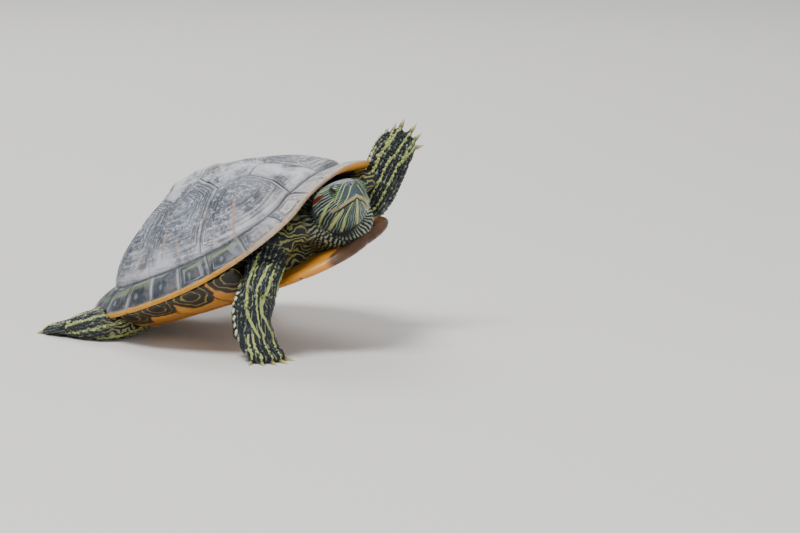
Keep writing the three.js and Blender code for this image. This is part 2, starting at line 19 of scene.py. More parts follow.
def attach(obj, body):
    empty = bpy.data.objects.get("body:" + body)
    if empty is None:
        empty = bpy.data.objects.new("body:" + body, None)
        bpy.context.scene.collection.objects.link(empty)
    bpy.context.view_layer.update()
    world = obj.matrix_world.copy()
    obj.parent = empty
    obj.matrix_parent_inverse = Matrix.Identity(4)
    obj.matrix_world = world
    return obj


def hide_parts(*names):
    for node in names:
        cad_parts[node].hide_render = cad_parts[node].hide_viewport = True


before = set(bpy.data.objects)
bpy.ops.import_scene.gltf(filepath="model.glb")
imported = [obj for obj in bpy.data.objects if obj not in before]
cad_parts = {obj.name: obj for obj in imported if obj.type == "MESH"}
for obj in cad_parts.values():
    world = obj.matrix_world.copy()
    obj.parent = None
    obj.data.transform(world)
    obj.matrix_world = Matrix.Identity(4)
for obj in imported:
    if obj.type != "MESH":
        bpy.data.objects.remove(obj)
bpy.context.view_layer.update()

# %% [markdown]
# ## The shell's own axes
# The turtle climbs and leans, so the shell is drawn in its own axes: x to the nose, y to the left, z up
# through the keel, in millimetres. One matrix stands it up and one point says where its middle is. The point
# is found from the carapace solid, so nothing is typed that the frame already knows.

# %% From shell axes to the floor
PITCH = math.radians(20.5)  # nose up
ROLL = math.radians(17.5)  # right side down
SHELL_TURN = np.array(Matrix.Rotation(-PITCH, 3, "Y") @ Matrix.Rotation(ROLL, 3, "X"))
REAR_TIP, CROWN = -110.0, 52.6  # the carapace's rear end and top, from the middle, in mm


def points_of(obj):
    co = np.empty(len(obj.data.vertices) * 3)
    obj.data.vertices.foreach_get("co", co)
    return co.reshape(-1, 3)


upright = points_of(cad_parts["carapace"]) * 1000
leaning = upright @ SHELL_TURN  # each row times the inverse turn
low, high = leaning.min(0), leaning.max(0)
MIDDLE = SHELL_TURN @ np.array([low[0] - REAR_TIP, (low[1] + high[1]) / 2, high[2] - CROWN])
FLOOR = -MIDDLE[2]  # the floor's height below the shell's middle
print("shell's middle at", MIDDLE.round(2), "mm, shell", (high - low).round(1), "mm")


def standing(x, y, height):
    """Shell axes of a point given upright: x and y from the middle, and height above the floor."""
    return np.array([x, y, FLOOR + height]) @ SHELL_TURN


def to_world(points):
    """Metres in the row's frame, from millimetres in the shell's axes."""
    return (np.asarray(points) @ SHELL_TURN.T + MIDDLE) / 1000


def in_shell(world):
    """Millimetres in the shell's axes, from metres in the row's frame."""
    return (np.asarray(world) * 1000 - MIDDLE) @ SHELL_TURN


# %% [markdown]
# ## Small tools
# Every piece is a mesh whose vertices are already in place, so its object stays at the origin. A few helpers
# build a mesh, store a number on each of its points for a material to read, and turn rings into a skin.

# %% Mesh helpers
def new_piece(name, points, faces):
    mesh = bpy.data.meshes.new(name)
    mesh.from_pydata([tuple(p) for p in points], [], faces)
    mesh.validate()
    obj = bpy.data.objects.new(name, mesh)
    bpy.context.scene.collection.objects.link(obj)
    return obj


def store(obj, name, values):
    """Keeps one number, or one vector, per vertex, for a material's Attribute node."""
    values = np.asarray(values, np.float32)
    kind, field = ("FLOAT", "value") if values.ndim == 1 else ("FLOAT_VECTOR", "vector")
    attribute = obj.data.attributes.new(name, kind, "POINT")
    attribute.data.foreach_set(field, values.ravel())


def shade_smooth(obj):
    obj.data.polygons.foreach_set("use_smooth", [True] * len(obj.data.polygons))


def face_outwards(obj, merge=0.0):
    """Welds doubles closer than merge and turns every face outwards."""
    bm = bmesh.new()
    bm.from_mesh(obj.data)
    if merge:
        bmesh.ops.remove_doubles(bm, verts=bm.verts, dist=merge)
    bmesh.ops.recalc_face_normals(bm, faces=bm.faces)
    bm.to_mesh(obj.data)
    bm.free()


def smoothstep(low_end, high_end, x):
    t = np.clip((np.asarray(x, float) - low_end) / (high_end - low_end), 0, 1)
    return t * t * (3 - 2 * t)


def bump(x, width):
    return np.exp(-((np.asarray(x, float) / width) ** 2))


# %% Rings to surfaces
class Shape:
    """Points and faces of closed surfaces, gathered before they become one mesh."""

    def __init__(self):
        self.points, self.faces = [], []

    def rings(self, rings, caps=(0, -1)):
        """A tube through rings of equal length, closed by a hub in each ring that caps names."""
        start, count = len(self.points), len(rings[0])
        for ring in rings:
            self.points.extend(np.asarray(ring, float))
        for r in range(len(rings) - 1):
            a, b = start + r * count, start + (r + 1) * count
            self.faces += [(a + i, a + (i + 1) % count, b + (i + 1) % count, b + i) for i in range(count)]
        for cap in caps:
            hub, base = len(self.points), start + cap % len(rings) * count
            self.points.append(np.mean(rings[cap], axis=0))
            self.faces += [(hub, base + i, base + (i + 1) % count) for i in range(count)]

    def ball(self, centre, radii, around=20, down=12):
        """A ball, or an egg if radii holds three numbers."""
        v = np.linspace(0, math.pi, down + 1)[1:-1, None, None]
        u = np.linspace(0, 2 * math.pi, around, endpoint=False)[None, :, None]
        unit = np.concatenate(np.broadcast_arrays(np.sin(v) * np.cos(u), np.sin(v) * np.sin(u), np.cos(v)), 2)
        self.rings(list(np.asarray(centre) + unit * np.asarray(radii)))


# %% [markdown]
# ## Materials
# A material here starts from what the real surface is. One function turns a web colour into the linear
# numbers that a shader wants. One more adds a node: values fill its inputs in order, a name with a capital is
# an input, and a small one a setting, so that a recipe reads from top to bottom with every number in sight.
# Object coordinates are in metres, so a noise with a scale of 1000 / 26 makes spots about 26 mm across. A map
# range from 0.36 to 0.64 turns the middle of such a noise into a mask from 0 to 1.

# %% Material helpers
COLOURS = {"data_type": "RGBA"}  # makes a Mix node blend two colours
TIMES = {"operation": "MULTIPLY"}
TIMES_PLUS = {"operation": "MULTIPLY_ADD"}  # first times second, plus third


def linear(web):
    """Linear colour from an sRGB web colour such as '#7a6f5c'."""
    channels = [int(web[i : i + 2], 16) / 255 for i in (1, 3, 5)]
    return [c / 12.92 if c <= 0.04045 else ((c + 0.055) / 1.055) ** 2.4 for c in channels] + [1.0]


def node(tree, kind, *values, out=0, **named):
    """Adds a node and returns one of its outputs, or all of them if out is None."""
    whole = kind.startswith(("Geometry", "Function", "NodeGroup"))
    made = tree.nodes.new(kind if whole else "ShaderNode" + kind)
    for name, value in named.items():
        if name.islower():
            setattr(made, name, value)
    given = list(zip([socket for socket in made.inputs if socket.enabled], values))
    given += [(made.inputs[name], value) for name, value in named.items() if not name.islower()]
    for socket, value in given:
        if isinstance(value, bpy.types.NodeSocket):
            tree.links.new(value, socket)
        else:
            socket.default_value = linear(value) if str(value).startswith("#") else value
    if out is None or isinstance(out, str):
        return made.outputs if out is None else made.outputs[out]
    return [socket for socket in made.outputs if socket.enabled][out]


def new_material(name, roughness, ior):
    """A material with only its shader, and a short way to add nodes to it."""
    material = bpy.data.materials.new(name)
    material.use_nodes = True
    shader = material.node_tree.nodes["Principled BSDF"]
    shader.inputs["Roughness"].default_value = roughness
    shader.inputs["IOR"].default_value = ior
    return material, functools.partial(node, material.node_tree)


def dress(obj, material, colour, height=None, depth_mm=0.3, roughness=None):
    """Gives a material its colour and its relief, depth_mm deep, and puts it on a piece."""
    tree = material.node_tree
    shader = tree.nodes["Principled BSDF"]
    tree.links.new(colour, shader.inputs["Base Color"])
    if height:
        tree.links.new(node(tree, "Bump", Height=height, Distance=depth_mm / 1000), shader.inputs["Normal"])
    if roughness:
        tree.links.new(roughness, shader.inputs["Roughness"])
    obj.data.materials.append(material)


# %% [markdown]
# ## The carapace's form
# A slider's carapace is a low roof over an oval rim. The rim turns up at the front and spreads at the rear.
# Two curves say all of it: where the rim is in each direction, and where the seam lies that divides the ring
# of edge plates from the dome. The dome's height over any spot follows from those, so a plate can be drawn
# flat, as on a plan, and then lifted onto the shell.

# %% Rim, seam and dome
HALF_LENGTH, HALF_WIDTH, DOME_TOP = 110.0, 85.0, 51.0
OVAL_POWER = 2 / 1.96  # a little fuller than an ellipse
FRONT_BLUNTING, FRONT_HALF_WIDTH, FRONT_RISE = 14.5, 38.0, 20.0
REAR_WIDENING = 0.05
DOME_SPREAD, DOME_SHOULDER = 1.29, 1.45  # powers that say how early and how roundly the dome climbs
RIM_THICKNESS, SKIRT_SWELL = 0.7, 3.2  # of the edge plates, in mm
KEEL_HEIGHT, KEEL_WIDTH = 1.6, 7.0
KEEL_KNOBS = (54, 17, -21, -53)  # where each keel plate ends in a low knob
KNOB_HEIGHT, KNOB_WIDTH, KNOB_LENGTH = 1.5, 4.5, 7.5
NOTCH_DEPTH, REAR_NOTCH_DEPTH, NOTCH_DEGREES = 0.35, 1.7, 3.2
EDGE_SEAMS = [3.2, 16, 37, 53, 68, 80.5, 93.3, 106.7, 122.5, 136, 149.5, 164, 180]  # degrees from the nose
EDGE_RUN = {"side": (11.5, 13.0), "front": (20.0, 2.5), "rear": (28.0, 7.0)}  # how far in and up, in mm


def inward(points, distance):
    """Points moved towards the keel's middle, level, by a distance."""
    reach = np.hypot(points[..., 0], points[..., 1])
    share = (1 - distance / np.maximum(reach, 1e-6))[..., None]
    return np.concatenate([points[..., :2] * share, points[..., 2:]], -1)


def rim(t):
    """The rim in direction t, an angle from the nose, as an array of x, y, z."""
    c, s = np.cos(t), np.sin(t)
    y = HALF_WIDTH * np.sign(s) * np.abs(s) ** OVAL_POWER * (1 - REAR_WIDENING * c)
    cut = np.where(c > 0, FRONT_BLUNTING * np.exp(-((y / FRONT_HALF_WIDTH) ** 4)), 0)
    x = HALF_LENGTH * np.sign(c) * np.abs(c) ** OVAL_POWER - cut
    z = FRONT_RISE * np.maximum(c, 0) ** 2.5
    return inward(np.stack([x, y, z], -1), notches(t))


def notches(t):
    """How far the rim steps in at each seam between edge plates, in mm: the rear of the rim is toothed."""
    off = np.abs(np.degrees(np.abs(np.arctan2(np.sin(t), np.cos(t))))[..., None] - EDGE_SEAMS)
    behind = smoothstep(95, 150, np.asarray(EDGE_SEAMS))
    return ((NOTCH_DEPTH + REAR_NOTCH_DEPTH * behind) * np.exp(-((off / NOTCH_DEGREES) ** 2))).sum(-1)


def edge_run(t, which):
    """How far an edge plate runs inward (which = 0) or upward (which = 1) from the rim, in mm."""
    c = np.cos(t)
    front, rear = np.maximum(c, 0) ** 2, np.maximum(-c, 0) ** 2
    side, ahead, behind = (EDGE_RUN[k][which] for k in ("side", "front", "rear"))
    return side * (1 - c * c) + ahead * front + behind * rear


def seam_ring(t):
    """The seam between the edge plates and the dome."""
    p = inward(rim(t), edge_run(t, 0))
    p[..., 2] += edge_run(t, 1)
    return p


TURNS = np.linspace(-math.pi, math.pi, 4001)
BEARINGS = np.unwrap(np.arctan2(rim(TURNS)[:, 1], rim(TURNS)[:, 0]))


def direction(plan):
    """The angle t whose rim point lies in the same direction as each plan point."""
    return np.interp(np.arctan2(plan[..., 1], plan[..., 0]), BEARINGS, TURNS)


def dome_height(plan):
    """Height of the carapace's top over each plan point."""
    t, r = direction(plan), np.hypot(plan[..., 0], plan[..., 1])
    seam, edge = seam_ring(t), rim(t)
    seam_r, edge_r = np.hypot(seam[..., 0], seam[..., 1]), np.hypot(edge[..., 0], edge[..., 1])
    climb = np.arccos(np.clip(r / seam_r, 0, 1) ** (1 / DOME_SPREAD))
    up = np.sin(climb) ** DOME_SHOULDER
    dome = seam[..., 2] + (DOME_TOP - seam[..., 2]) * up + KEEL_HEIGHT * bump(plan[..., 1], KEEL_WIDTH) * up
    share = np.clip((r - seam_r) / (edge_r - seam_r), 0, 1)
    for knob in KEEL_KNOBS:
        dome = dome + KNOB_HEIGHT * bump(plan[..., 1], KNOB_WIDTH) * bump(plan[..., 0] - knob, KNOB_LENGTH)
    fall = edge[..., 2] + RIM_THICKNESS - seam[..., 2]
    skirt = seam[..., 2] + fall * share + SKIRT_SWELL * share * (1 - share)
    return np.where(r <= seam_r, dome, skirt)


def lifted(plan, height=0.0):
    """Plan points on the carapace's surface, raised by height along its normal."""
    step = 0.4
    z = dome_height(plan)
    slope_x = (dome_height(plan + [step, 0]) - dome_height(plan - [step, 0])) / (2 * step)
    slope_y = (dome_height(plan + [0, step]) - dome_height(plan - [0, step])) / (2 * step)
    normal = np.stack([-slope_x, -slope_y, np.ones_like(z)], -1)
    normal /= np.linalg.norm(normal, axis=-1, keepdims=True)
    return np.concatenate([plan, z[..., None]], -1) + normal * np.asarray(height)[..., None]


left_rim = rim(TURNS[TURNS >= 0])
print("rim, nose to tail:", round(float(np.linalg.norm(np.diff(left_rim, axis=0), axis=1).sum()), 1), "mm")

# %% [markdown]
# ## Where the seams run
# A slider wears five plates along the keel, four on each flank, and a ring of twenty-five round the edge: a
# small one over the neck and twelve each side. The seams between them form a net. Each seam is sampled once,
# and both plates that share it use the same points, so that the plates weld into one watertight shell.

# %% The net of seams, left side
SPACING = 1.3  # mm between points along a seam
SEAM_WANDER, SEAM_WAVE = 0.35, 4.1  # mm
KEEL_CORNERS = {  # plan points where keel and flank plates meet
    "neck": (62, 11), "v1v2": (45, 9.5), "v2tip": (31, 24.5), "v2v3": (9, 11), "v3tip": (-5, 29),
    "v3v4": (-28, 12), "v4tip": (-39, 27), "v4v5": (-58, 10.5),
}
SEAMS = {  # name: the corners that a flank seam joins, a number being where it meets the ring, in degrees
    "v1c1": [14.5, "neck", "v1v2"], "v2c1": ["v1v2", "v2tip"], "v2c2": ["v2tip", "v2v3"],
    "v3c2": ["v2v3", "v3tip"], "v3c3": ["v3tip", "v3v4"], "v4c3": ["v3v4", "v4tip"],
    "v4c4": ["v4tip", "v4v5"], "v5c4": ["v4v5", 152], "c1c2": ["v2tip", 70], "c2c3": ["v3tip", 96],
    "c3c4": ["v4tip", 125],
}
RING_STEP_DEGREES = 0.75
even_steps = np.round(np.arange(0, 180.01, RING_STEP_DEGREES), 4)
met = [spot for corners in SEAMS.values() for spot in corners if not isinstance(spot, str)]
ring_turns = np.radians(sorted({*even_steps, *EDGE_SEAMS, *met}))


def wavy(a, b):
    """Points from a to b, with the slight wander that a grown seam has."""
    a, b = np.asarray(a, float), np.asarray(b, float)
    length = np.linalg.norm(b - a)
    f = np.linspace(0, 1, max(3, math.ceil(length / SPACING)) + 1)
    across = np.array([-(b - a)[1], (b - a)[0]]) / length
    wander = SEAM_WANDER * np.sin(f * length / SEAM_WAVE + a[0]) * np.sin(math.pi * f)
    return a + f[:, None] * (b - a) + wander[:, None] * across


def corner(c):
    """Plan point of a named corner, or of a bearing on the ring."""
    return np.array(KEEL_CORNERS[c] if isinstance(c, str) else seam_ring(np.array(math.radians(c)))[:2])


def seam(name):
    """Plan points along a flank seam, from corner to corner."""
    spots = [corner(c) for c in SEAMS[name]]
    parts = [wavy(a, b) for a, b in zip(spots, spots[1:])]
    return np.concatenate([parts[0], *[p[1:] for p in parts[1:]]])


def ring_arc(curve, start, end):
    """Plan points along rim or seam ring between two angles in degrees."""
    turns = ring_turns[(ring_turns >= math.radians(start) - 1e-9) & (ring_turns <= math.radians(end) + 1e-9)]
    return curve(turns)[:, :2]


def edge_seam(degrees):
    """The seam between two edge plates, from the ring out to the rim."""
    t = np.array(math.radians(degrees))
    return wavy(seam_ring(t)[:2], rim(t)[:2])


mirror = np.array([1, -1])

# %% Plates as outlines
def joined(*parts):
    """One closed outline from parts that meet end to end."""
    return np.concatenate([p[:-1] for p in parts])


def across(points):
    """The seam over the keel, from a corner on the left to its twin on the right."""
    return wavy(np.asarray(points), np.asarray(points) * mirror)


def keel_plate(front, left, rear):
    """Outline over the keel: front seam right to left, left side front to rear, rear seam, and back."""
    return joined(front, left, rear, (left * mirror)[::-1])


def ring(start, end):
    return ring_arc(seam_ring, start, end)


def both(name, other):
    """Two flank seams that meet, as one line."""
    return np.concatenate([seam(name), seam(other)[1:]])


# %% Thirty-eight plates
over = {k: across(KEEL_CORNERS[k]) for k in ("v1v2", "v2v3", "v3v4", "v4v5")}
front_ring = ring(0, 14.5)
rear_ring = ring(152, 180)
plates = [  # (name, outline, growth centre)
    ("keel_1", keel_plate(np.concatenate([(front_ring * mirror)[::-1], front_ring[1:]]), seam("v1c1"),
                          over["v1v2"]), (55, 0)),
    ("keel_2", keel_plate(over["v1v2"][::-1], both("v2c1", "v2c2"), over["v2v3"]), (22, 0)),
    ("keel_3", keel_plate(over["v2v3"][::-1], both("v3c2", "v3c3"), over["v3v4"]), (-13, 0)),
    ("keel_4", keel_plate(over["v3v4"][::-1], both("v4c3", "v4c4"), over["v4v5"]), (-46, 0)),
    ("keel_5", joined(over["v4v5"][::-1], seam("v5c4"), rear_ring, (rear_ring * mirror)[::-1],
                      (seam("v5c4") * mirror)[::-1]), (-70, 0)),
]
flanks = [
    ("flank_1", joined(seam("v1c1"), seam("v2c1"), seam("c1c2"), ring(14.5, 70)[::-1]), (45, 30)),
    ("flank_2", joined(seam("v2c2"), seam("v3c2"), seam("c2c3"), ring(70, 96)[::-1], seam("c1c2")[::-1]),
     (8, 36)),
    ("flank_3", joined(seam("v3c3"), seam("v4c3"), seam("c3c4"), ring(96, 125)[::-1], seam("c2c3")[::-1]),
     (-28, 36)),
    ("flank_4", joined(seam("v4c4"), seam("v5c4"), ring(125, 152)[::-1], seam("c3c4")[::-1]), (-57, 28)),
]
EDGE_GROWTH = 0.62  # an edge plate grew from this share of the way to its rear and to the rim
for start, end in zip(EDGE_SEAMS, EDGE_SEAMS[1:]):
    outline = joined(
        ring_arc(rim, start, end), edge_seam(end)[::-1], ring(start, end)[::-1], edge_seam(start)
    )
    t = np.array(math.radians(start + EDGE_GROWTH * (end - start)))
    growth = EDGE_GROWTH * rim(t)[:2] + (1 - EDGE_GROWTH) * seam_ring(t)[:2]
    flanks.append((f"edge_{EDGE_SEAMS.index(end)}", outline, growth))
for name, outline, growth in flanks:
    plates.append((name + "_left", outline, growth))
    plates.append((name + "_right", (outline * mirror)[::-1], np.array(growth) * mirror))
neck_rim, neck_ring = ring_arc(rim, 0, 3.2), ring(0, 3.2)
nape = joined(
    np.concatenate([(neck_rim * mirror)[::-1], neck_rim[1:]]), edge_seam(3.2)[::-1],
    np.concatenate([neck_ring[::-1], (neck_ring * mirror)[1:]]), edge_seam(3.2) * mirror,
)
plates.append(("edge_0", nape, (86, 0)))
print(len(plates), "plates,", sum(len(p[1]) for p in plates), "points on their outlines")

# %% [markdown]
# ## Growing the plates
# A horn plate starts as a small field on the hatchling and adds a rim of horn each season, widest towards the
# head. So a plate is made of its own outline again and again, shrunk towards the field where it began. Each
# copy is lifted onto the dome, sunk at the seam, and stepped a little at every growth line.

# %% Rings of one plate
SEAM_DEPTH, SEAM_REACH = 0.8, 0.62  # mm: how deep a seam is cut, and how far to each side
LIP, LIP_AT, LIP_REACH = 0.2, 1.9, 0.9  # mm: the raised lip beside it
LINE_RISE, SWELL_RISE = 0.5, 0.5  # mm: of a growth line, and of the whole plate
FIRST_RINGS = [0.0, 0.35, 0.75, 1.2, 1.9]  # mm in from the seam
RING_STEP = 1.5
GROWTH_LINES = 7
carapace_shape, seam_gaps, shares, tones, plate_kinds, to_growth = Shape(), [], [], [], [], []
tone_of = np.random.default_rng(7)  # a fixed seed, so that every run gives the plates the same tones
KINDS = {"keel": 0.0, "flank": 1.0, "edge": 2.0}


def from_rim(plan):
    """Distance in from the rim of each plan point, in mm, measured towards the middle."""
    edge = rim(direction(plan))
    return np.hypot(edge[..., 0], edge[..., 1]) - np.hypot(plan[..., 0], plan[..., 1])


def plate_relief(gap, share, sunk, clear):
    """Height of the horn over the smooth dome: seam, lip beside it, faint swell and growth lines."""
    steps = np.abs(np.sin(math.pi * GROWTH_LINES * share)) ** 0.6 - 0.7
    lines = LINE_RISE * clear * steps * smoothstep(0.02, 0.12, share) * smoothstep(1.0, 0.45, share)
    seam_cut = -SEAM_DEPTH * bump(gap, SEAM_REACH) + LIP * bump(gap - LIP_AT, LIP_REACH)
    return sunk * seam_cut + (lines + SWELL_RISE * (1 - np.exp(-gap / 5))) * smoothstep(0, 3, gap)


# %% Every plate, ring by ring
EDGE_LINES = 0.3  # growth lines on the edge plates have this share of the others' height
UNEVEN = 0.3  # mm that the horn rises and falls by chance
for name, outline, growth in plates:
    inner = np.asarray(growth, float) - outline
    length = np.linalg.norm(inner, axis=1)
    sunk = smoothstep(0.0, 2.5, from_rim(outline))
    first = [gap / length for gap in FIRST_RINGS]
    rest = np.linspace(0, 1, max(4, math.ceil(length.max() / RING_STEP)))[1:-1]
    rings = []
    for share in first + [first[-1] + (1 - first[-1]) * f for f in rest]:
        gap, spot = share * length, outline + inner * share[:, None]
        x, y = spot.T
        clear = 0.55 + 0.45 * np.sin(x / 7.9 + 1.3) * np.sin(y / 6.7 + 0.4)  # lines are worn off in places
        height = plate_relief(gap, share, sunk, clear * (EDGE_LINES if name.startswith("edge") else 1))
        height = height + UNEVEN * np.sin(x / 5.3) * np.sin(y / 6.1 + 1) * smoothstep(1, 6, gap)
        rings.append(lifted(spot, height))
        seam_gaps.append(gap)
        shares.append(share)
        to_growth.append((1 - share) * length)
    before = len(carapace_shape.points)
    carapace_shape.rings(rings, caps=(-1,))
    seam_gaps.append([float(length.max())])
    shares.append([1.0])
    to_growth.append([0.0])
    added = len(carapace_shape.points) - before
    tones += [tone_of.uniform()] * added
    plate_kinds += [KINDS[name.split("_")[0]]] * added
print("plates:", len(carapace_shape.points), "points")

# %% The shell's underside and its hollow
loop = np.concatenate([-ring_turns[:0:-1], ring_turns[:-1]])
UNDER = [(0.0, None), (0.25, -1.3), (3, -1.8), (6, -2.2), (9, -2.0), (12, -1.6)]  # (inward, below the rim)
HOLLOW = [0.965, 0.88, 0.72, 0.5, 0.25]  # shares of the way out to the ring seam
SHELL_THICKNESS = 3.8
under_rings = []
for step, drop in UNDER:
    ring_points = inward(rim(loop), step)
    if drop is None:
        ring_points = lifted(rim(loop)[:, :2], 0.0)
    else:
        ring_points[:, 2] = rim(loop)[:, 2] + drop
    under_rings.append(ring_points)
for share in HOLLOW:
    plan = seam_ring(loop)[:, :2] * share
    under_rings.append(np.concatenate([plan, dome_height(plan)[:, None] - SHELL_THICKNESS], 1))
carapace_shape.rings(under_rings, caps=(-1,))
added = len(carapace_shape.points) - len(tones)
carapace = new_piece("carapace_plates", to_world(carapace_shape.points), carapace_shape.faces)
store(carapace, "seam_gap", np.concatenate([*seam_gaps, np.full(added, 20.0)]))
store(carapace, "share", np.concatenate([*shares, np.full(added, 0.5)]))
store(carapace, "to_growth", np.concatenate([*to_growth, np.full(added, 20.0)]))
store(carapace, "tone", np.array(tones + [0.5] * added))
store(carapace, "under", np.array([0.0] * len(tones) + [1.0] * added))
store(carapace, "kind", np.array(plate_kinds + [2.0] * added))
face_outwards(carapace, merge=1e-5)
shade_smooth(carapace)
print("carapace:", len(carapace.data.polygons), "faces")

# %% [markdown]
# ## Marks on the shell
# Age and sun have bleached the plates to slate and chalk, but the old colours still show: an orange streak
# down a flank plate, yellow along the rim, and under the rim black blotches ringed like a target. Each is
# kept on the mesh as a distance from where it was laid down.

# %% Distances to the marks
STREAKS = [  # plan points and half width in mm, both sides
    [(48.4, 35.2, 0.5), (51.5, 48, 0.9), (53.4, 56.3, 0.7)], [(13, 47, 0.3), (14, 66, 0.5)],
    [(2, 50, 0.3), (3, 68, 0.6)], [(-22, 48, 0.4), (-25, 66, 0.6)], [(-58, 32, 0.4), (-68, 48, 0.6)],
]
BLOTCHES = [(46, 68.5, -5), (15, 74, -6.5), (-13, 76.5, -5), (-40, 72, -6), (70, 52, 5), (-66, 60, -4)]
BLOTCH_REACH = (15.6, 16, 11.8)  # mm, in the shell's axes
KNOB_SPOT, KNOB_REACH = (19, 0), (5, 2.2)  # where the horn on a keel knob is worn to a warm brown
FAR = 9.0  # no distance from a mark is stored as more than this


def line_gap(points, line):
    """Distance from a bent line whose corners end in a half width, in half widths, in a plan or in space."""
    corners = np.array(line, float)
    best = np.full(len(points), FAR)
    for a, b in zip(corners, corners[1:]):
        step = b[:-1] - a[:-1]
        f = np.clip(((points - a[:-1]) @ step) / (step @ step), 0, 1)
        gap = np.linalg.norm(points - a[:-1] - f[:, None] * step, axis=1)
        best = np.minimum(best, gap / (a[-1] + (b[-1] - a[-1]) * f))
    return best


def blotch_gap(points):
    """Distance from the nearest blotch, 1 at its outer ring."""
    folded = points * [1, 0, 1] + np.abs(points) * [0, 1, 0]
    return np.min([np.linalg.norm((folded - at) / BLOTCH_REACH, axis=1) for at in BLOTCHES], axis=0)


on_shell = in_shell(points_of(carapace))
folded_plan = np.stack([on_shell[:, 0], np.abs(on_shell[:, 1])], 1)
store(carapace, "streak", np.min([line_gap(folded_plan, line) for line in STREAKS], axis=0))
store(carapace, "blotch", blotch_gap(on_shell))
store(carapace, "rim_gap", from_rim(on_shell[:, :2]))
store(carapace, "side", on_shell[:, 1])
store(carapace, "bearing", np.degrees(np.abs(direction(on_shell[:, :2]))))
store(carapace, "knob", np.linalg.norm((on_shell[:, :2] - KNOB_SPOT) / KNOB_REACH, axis=1))
print("marks:", len(STREAKS), "streaks and", len(BLOTCHES), "blotches a side")

# %% [markdown]
# ## From solids to soft flesh
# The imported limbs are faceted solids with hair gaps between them, as simulation wants them. Living skin has
# neither. Copies of the solids are fattened a little so that the gaps close, fused into one surface by a
# voxel remesh, and relaxed until the facets are gone. What was many solids is then one skin.

# %% Fuse and relax
def fused(name, nodes, grow_mm, voxel_mm, more=None):
    """One surface round the named solids, each grown so that neighbours meet, and round any further shape."""
    whole = bmesh.new()
    for solid in nodes:
        bm = bmesh.new()
        bm.from_mesh(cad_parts[solid].data)
        bmesh.ops.remove_doubles(bm, verts=bm.verts, dist=1e-5)
        bmesh.ops.recalc_face_normals(bm, faces=bm.faces)
        bm.normal_update()
        for v, offset in [(v, v.normal * grow_mm / 1000) for v in bm.verts]:
            v.co += offset
        part = bpy.data.meshes.new("part")
        bm.to_mesh(part)
        bm.free()
        whole.from_mesh(part)
        bpy.data.meshes.remove(part)
    if more:
        part = new_piece("more", more.points, more.faces)
        whole.from_mesh(part.data)
        bpy.data.objects.remove(part)
    source = new_piece(name + "_source", [], [])
    whole.to_mesh(source.data)
    whole.free()
    remesh = source.modifiers.new("fuse", "REMESH")
    remesh.mode, remesh.voxel_size, remesh.adaptivity = "VOXEL", voxel_mm / 1000, 0.0
    evaluated = source.evaluated_get(bpy.context.evaluated_depsgraph_get())
    mesh = bpy.data.meshes.new_from_object(evaluated)
    bpy.data.objects.remove(source)
    mesh.name = name
    obj = bpy.data.objects.new(name, mesh)
    bpy.context.scene.collection.objects.link(obj)
    print(name, "fused:", len(mesh.vertices), "points")
    return obj


def edges_of(obj):
    ends = np.empty(len(obj.data.edges) * 2, int)
    obj.data.edges.foreach_get("vertices", ends)
    return ends.reshape(-1, 2)


def averaged(values, ends, degree):
    """Each point's mean over its neighbours."""
    total = np.zeros_like(values)
    np.add.at(total, ends[:, 0], values[ends[:, 1]])
    np.add.at(total, ends[:, 1], values[ends[:, 0]])
    return total / degree[:, None]


def relax(points, ends, rounds, amount=0.5, hold=None):
    """Moves each point towards its neighbours' mean, again and again, and less where hold is under 1."""
    degree = np.maximum(np.bincount(ends.ravel(), minlength=len(points)), 1)
    for _ in range(rounds):
        move = (averaged(points, ends, degree) - points) * amount
        points = points + (move if hold is None else move * hold[:, None])
    return points


def normals_of(obj):
    obj.data.update()
    n = np.empty(len(obj.data.vertices) * 3)
    obj.data.vertices.foreach_get("normal", n)
    return n.reshape(-1, 3)


def place(obj, points):
    """Puts an object's vertices at the given points."""
    obj.data.vertices.foreach_set("co", np.asarray(points, np.float32).ravel())
    obj.data.update()


# %% [markdown]
# ## The belly's form
# The plastron is one flat shield of fused bone under twelve plates of horn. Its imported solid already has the
# outline, so it is remeshed finely, relaxed, and its seams are pressed into the side that faces the floor. A
# seam is a distance again: from a line over the belly that sweeps back or forward on its way to the side.

# %% The belly plate
plastron = fused("plastron_plates", ["plastron"], grow_mm=0.25, voxel_mm=1.25)
spots = relax(points_of(plastron), edges_of(plastron), 6)
place(plastron, spots)
belly_place, belly_normal = in_shell(spots), normals_of(plastron) @ SHELL_TURN
x, y, _ = belly_place.T
CROSS_SEAMS = [  # (where it meets the midline, how far it has swept forward 50 mm out), in mm
    (66, 10), (30, -3), (-8, 0), (-47, 6), (-76, -8),
]
BRIDGE_SEAM, BRIDGE_END = 54, 52  # how far out the bridges start, and how far forward and back they reach
BELLY_CUT, BELLY_SWELL = 0.5, 0.25
across_gap = np.min([np.abs(x - at - sweep * np.abs(y) / 50) for at, sweep in CROSS_SEAMS], axis=0)
belly_seam = np.minimum(across_gap, np.abs(y + 0.8 * np.sin(x / 9)))  # the midline wanders a little
belly_seam = np.minimum(belly_seam, np.where(np.abs(x) < BRIDGE_END, np.abs(np.abs(y) - BRIDGE_SEAM), FAR))
facing_down = smoothstep(0.1, -0.4, belly_normal[:, 2])
cut = -BELLY_CUT * bump(belly_seam, 0.7) * facing_down
swell = BELLY_SWELL * (1 - np.exp(-belly_seam / 4)) * facing_down
spots = spots + normals_of(plastron) * ((cut + swell) / 1000)[:, None]
spots[:, 2] = np.maximum(spots[:, 2], 0.0)
place(plastron, spots)
BELLY_HALF_WIDTH = ([-96, -73, -48, 0, 50, 74, 90, 97.5], [12, 40, 47, 52, 51, 46.5, 36, 18])  # along x
inner_gap = np.minimum(np.interp(x, *BELLY_HALF_WIDTH) - np.abs(y), 97 - np.abs(x))
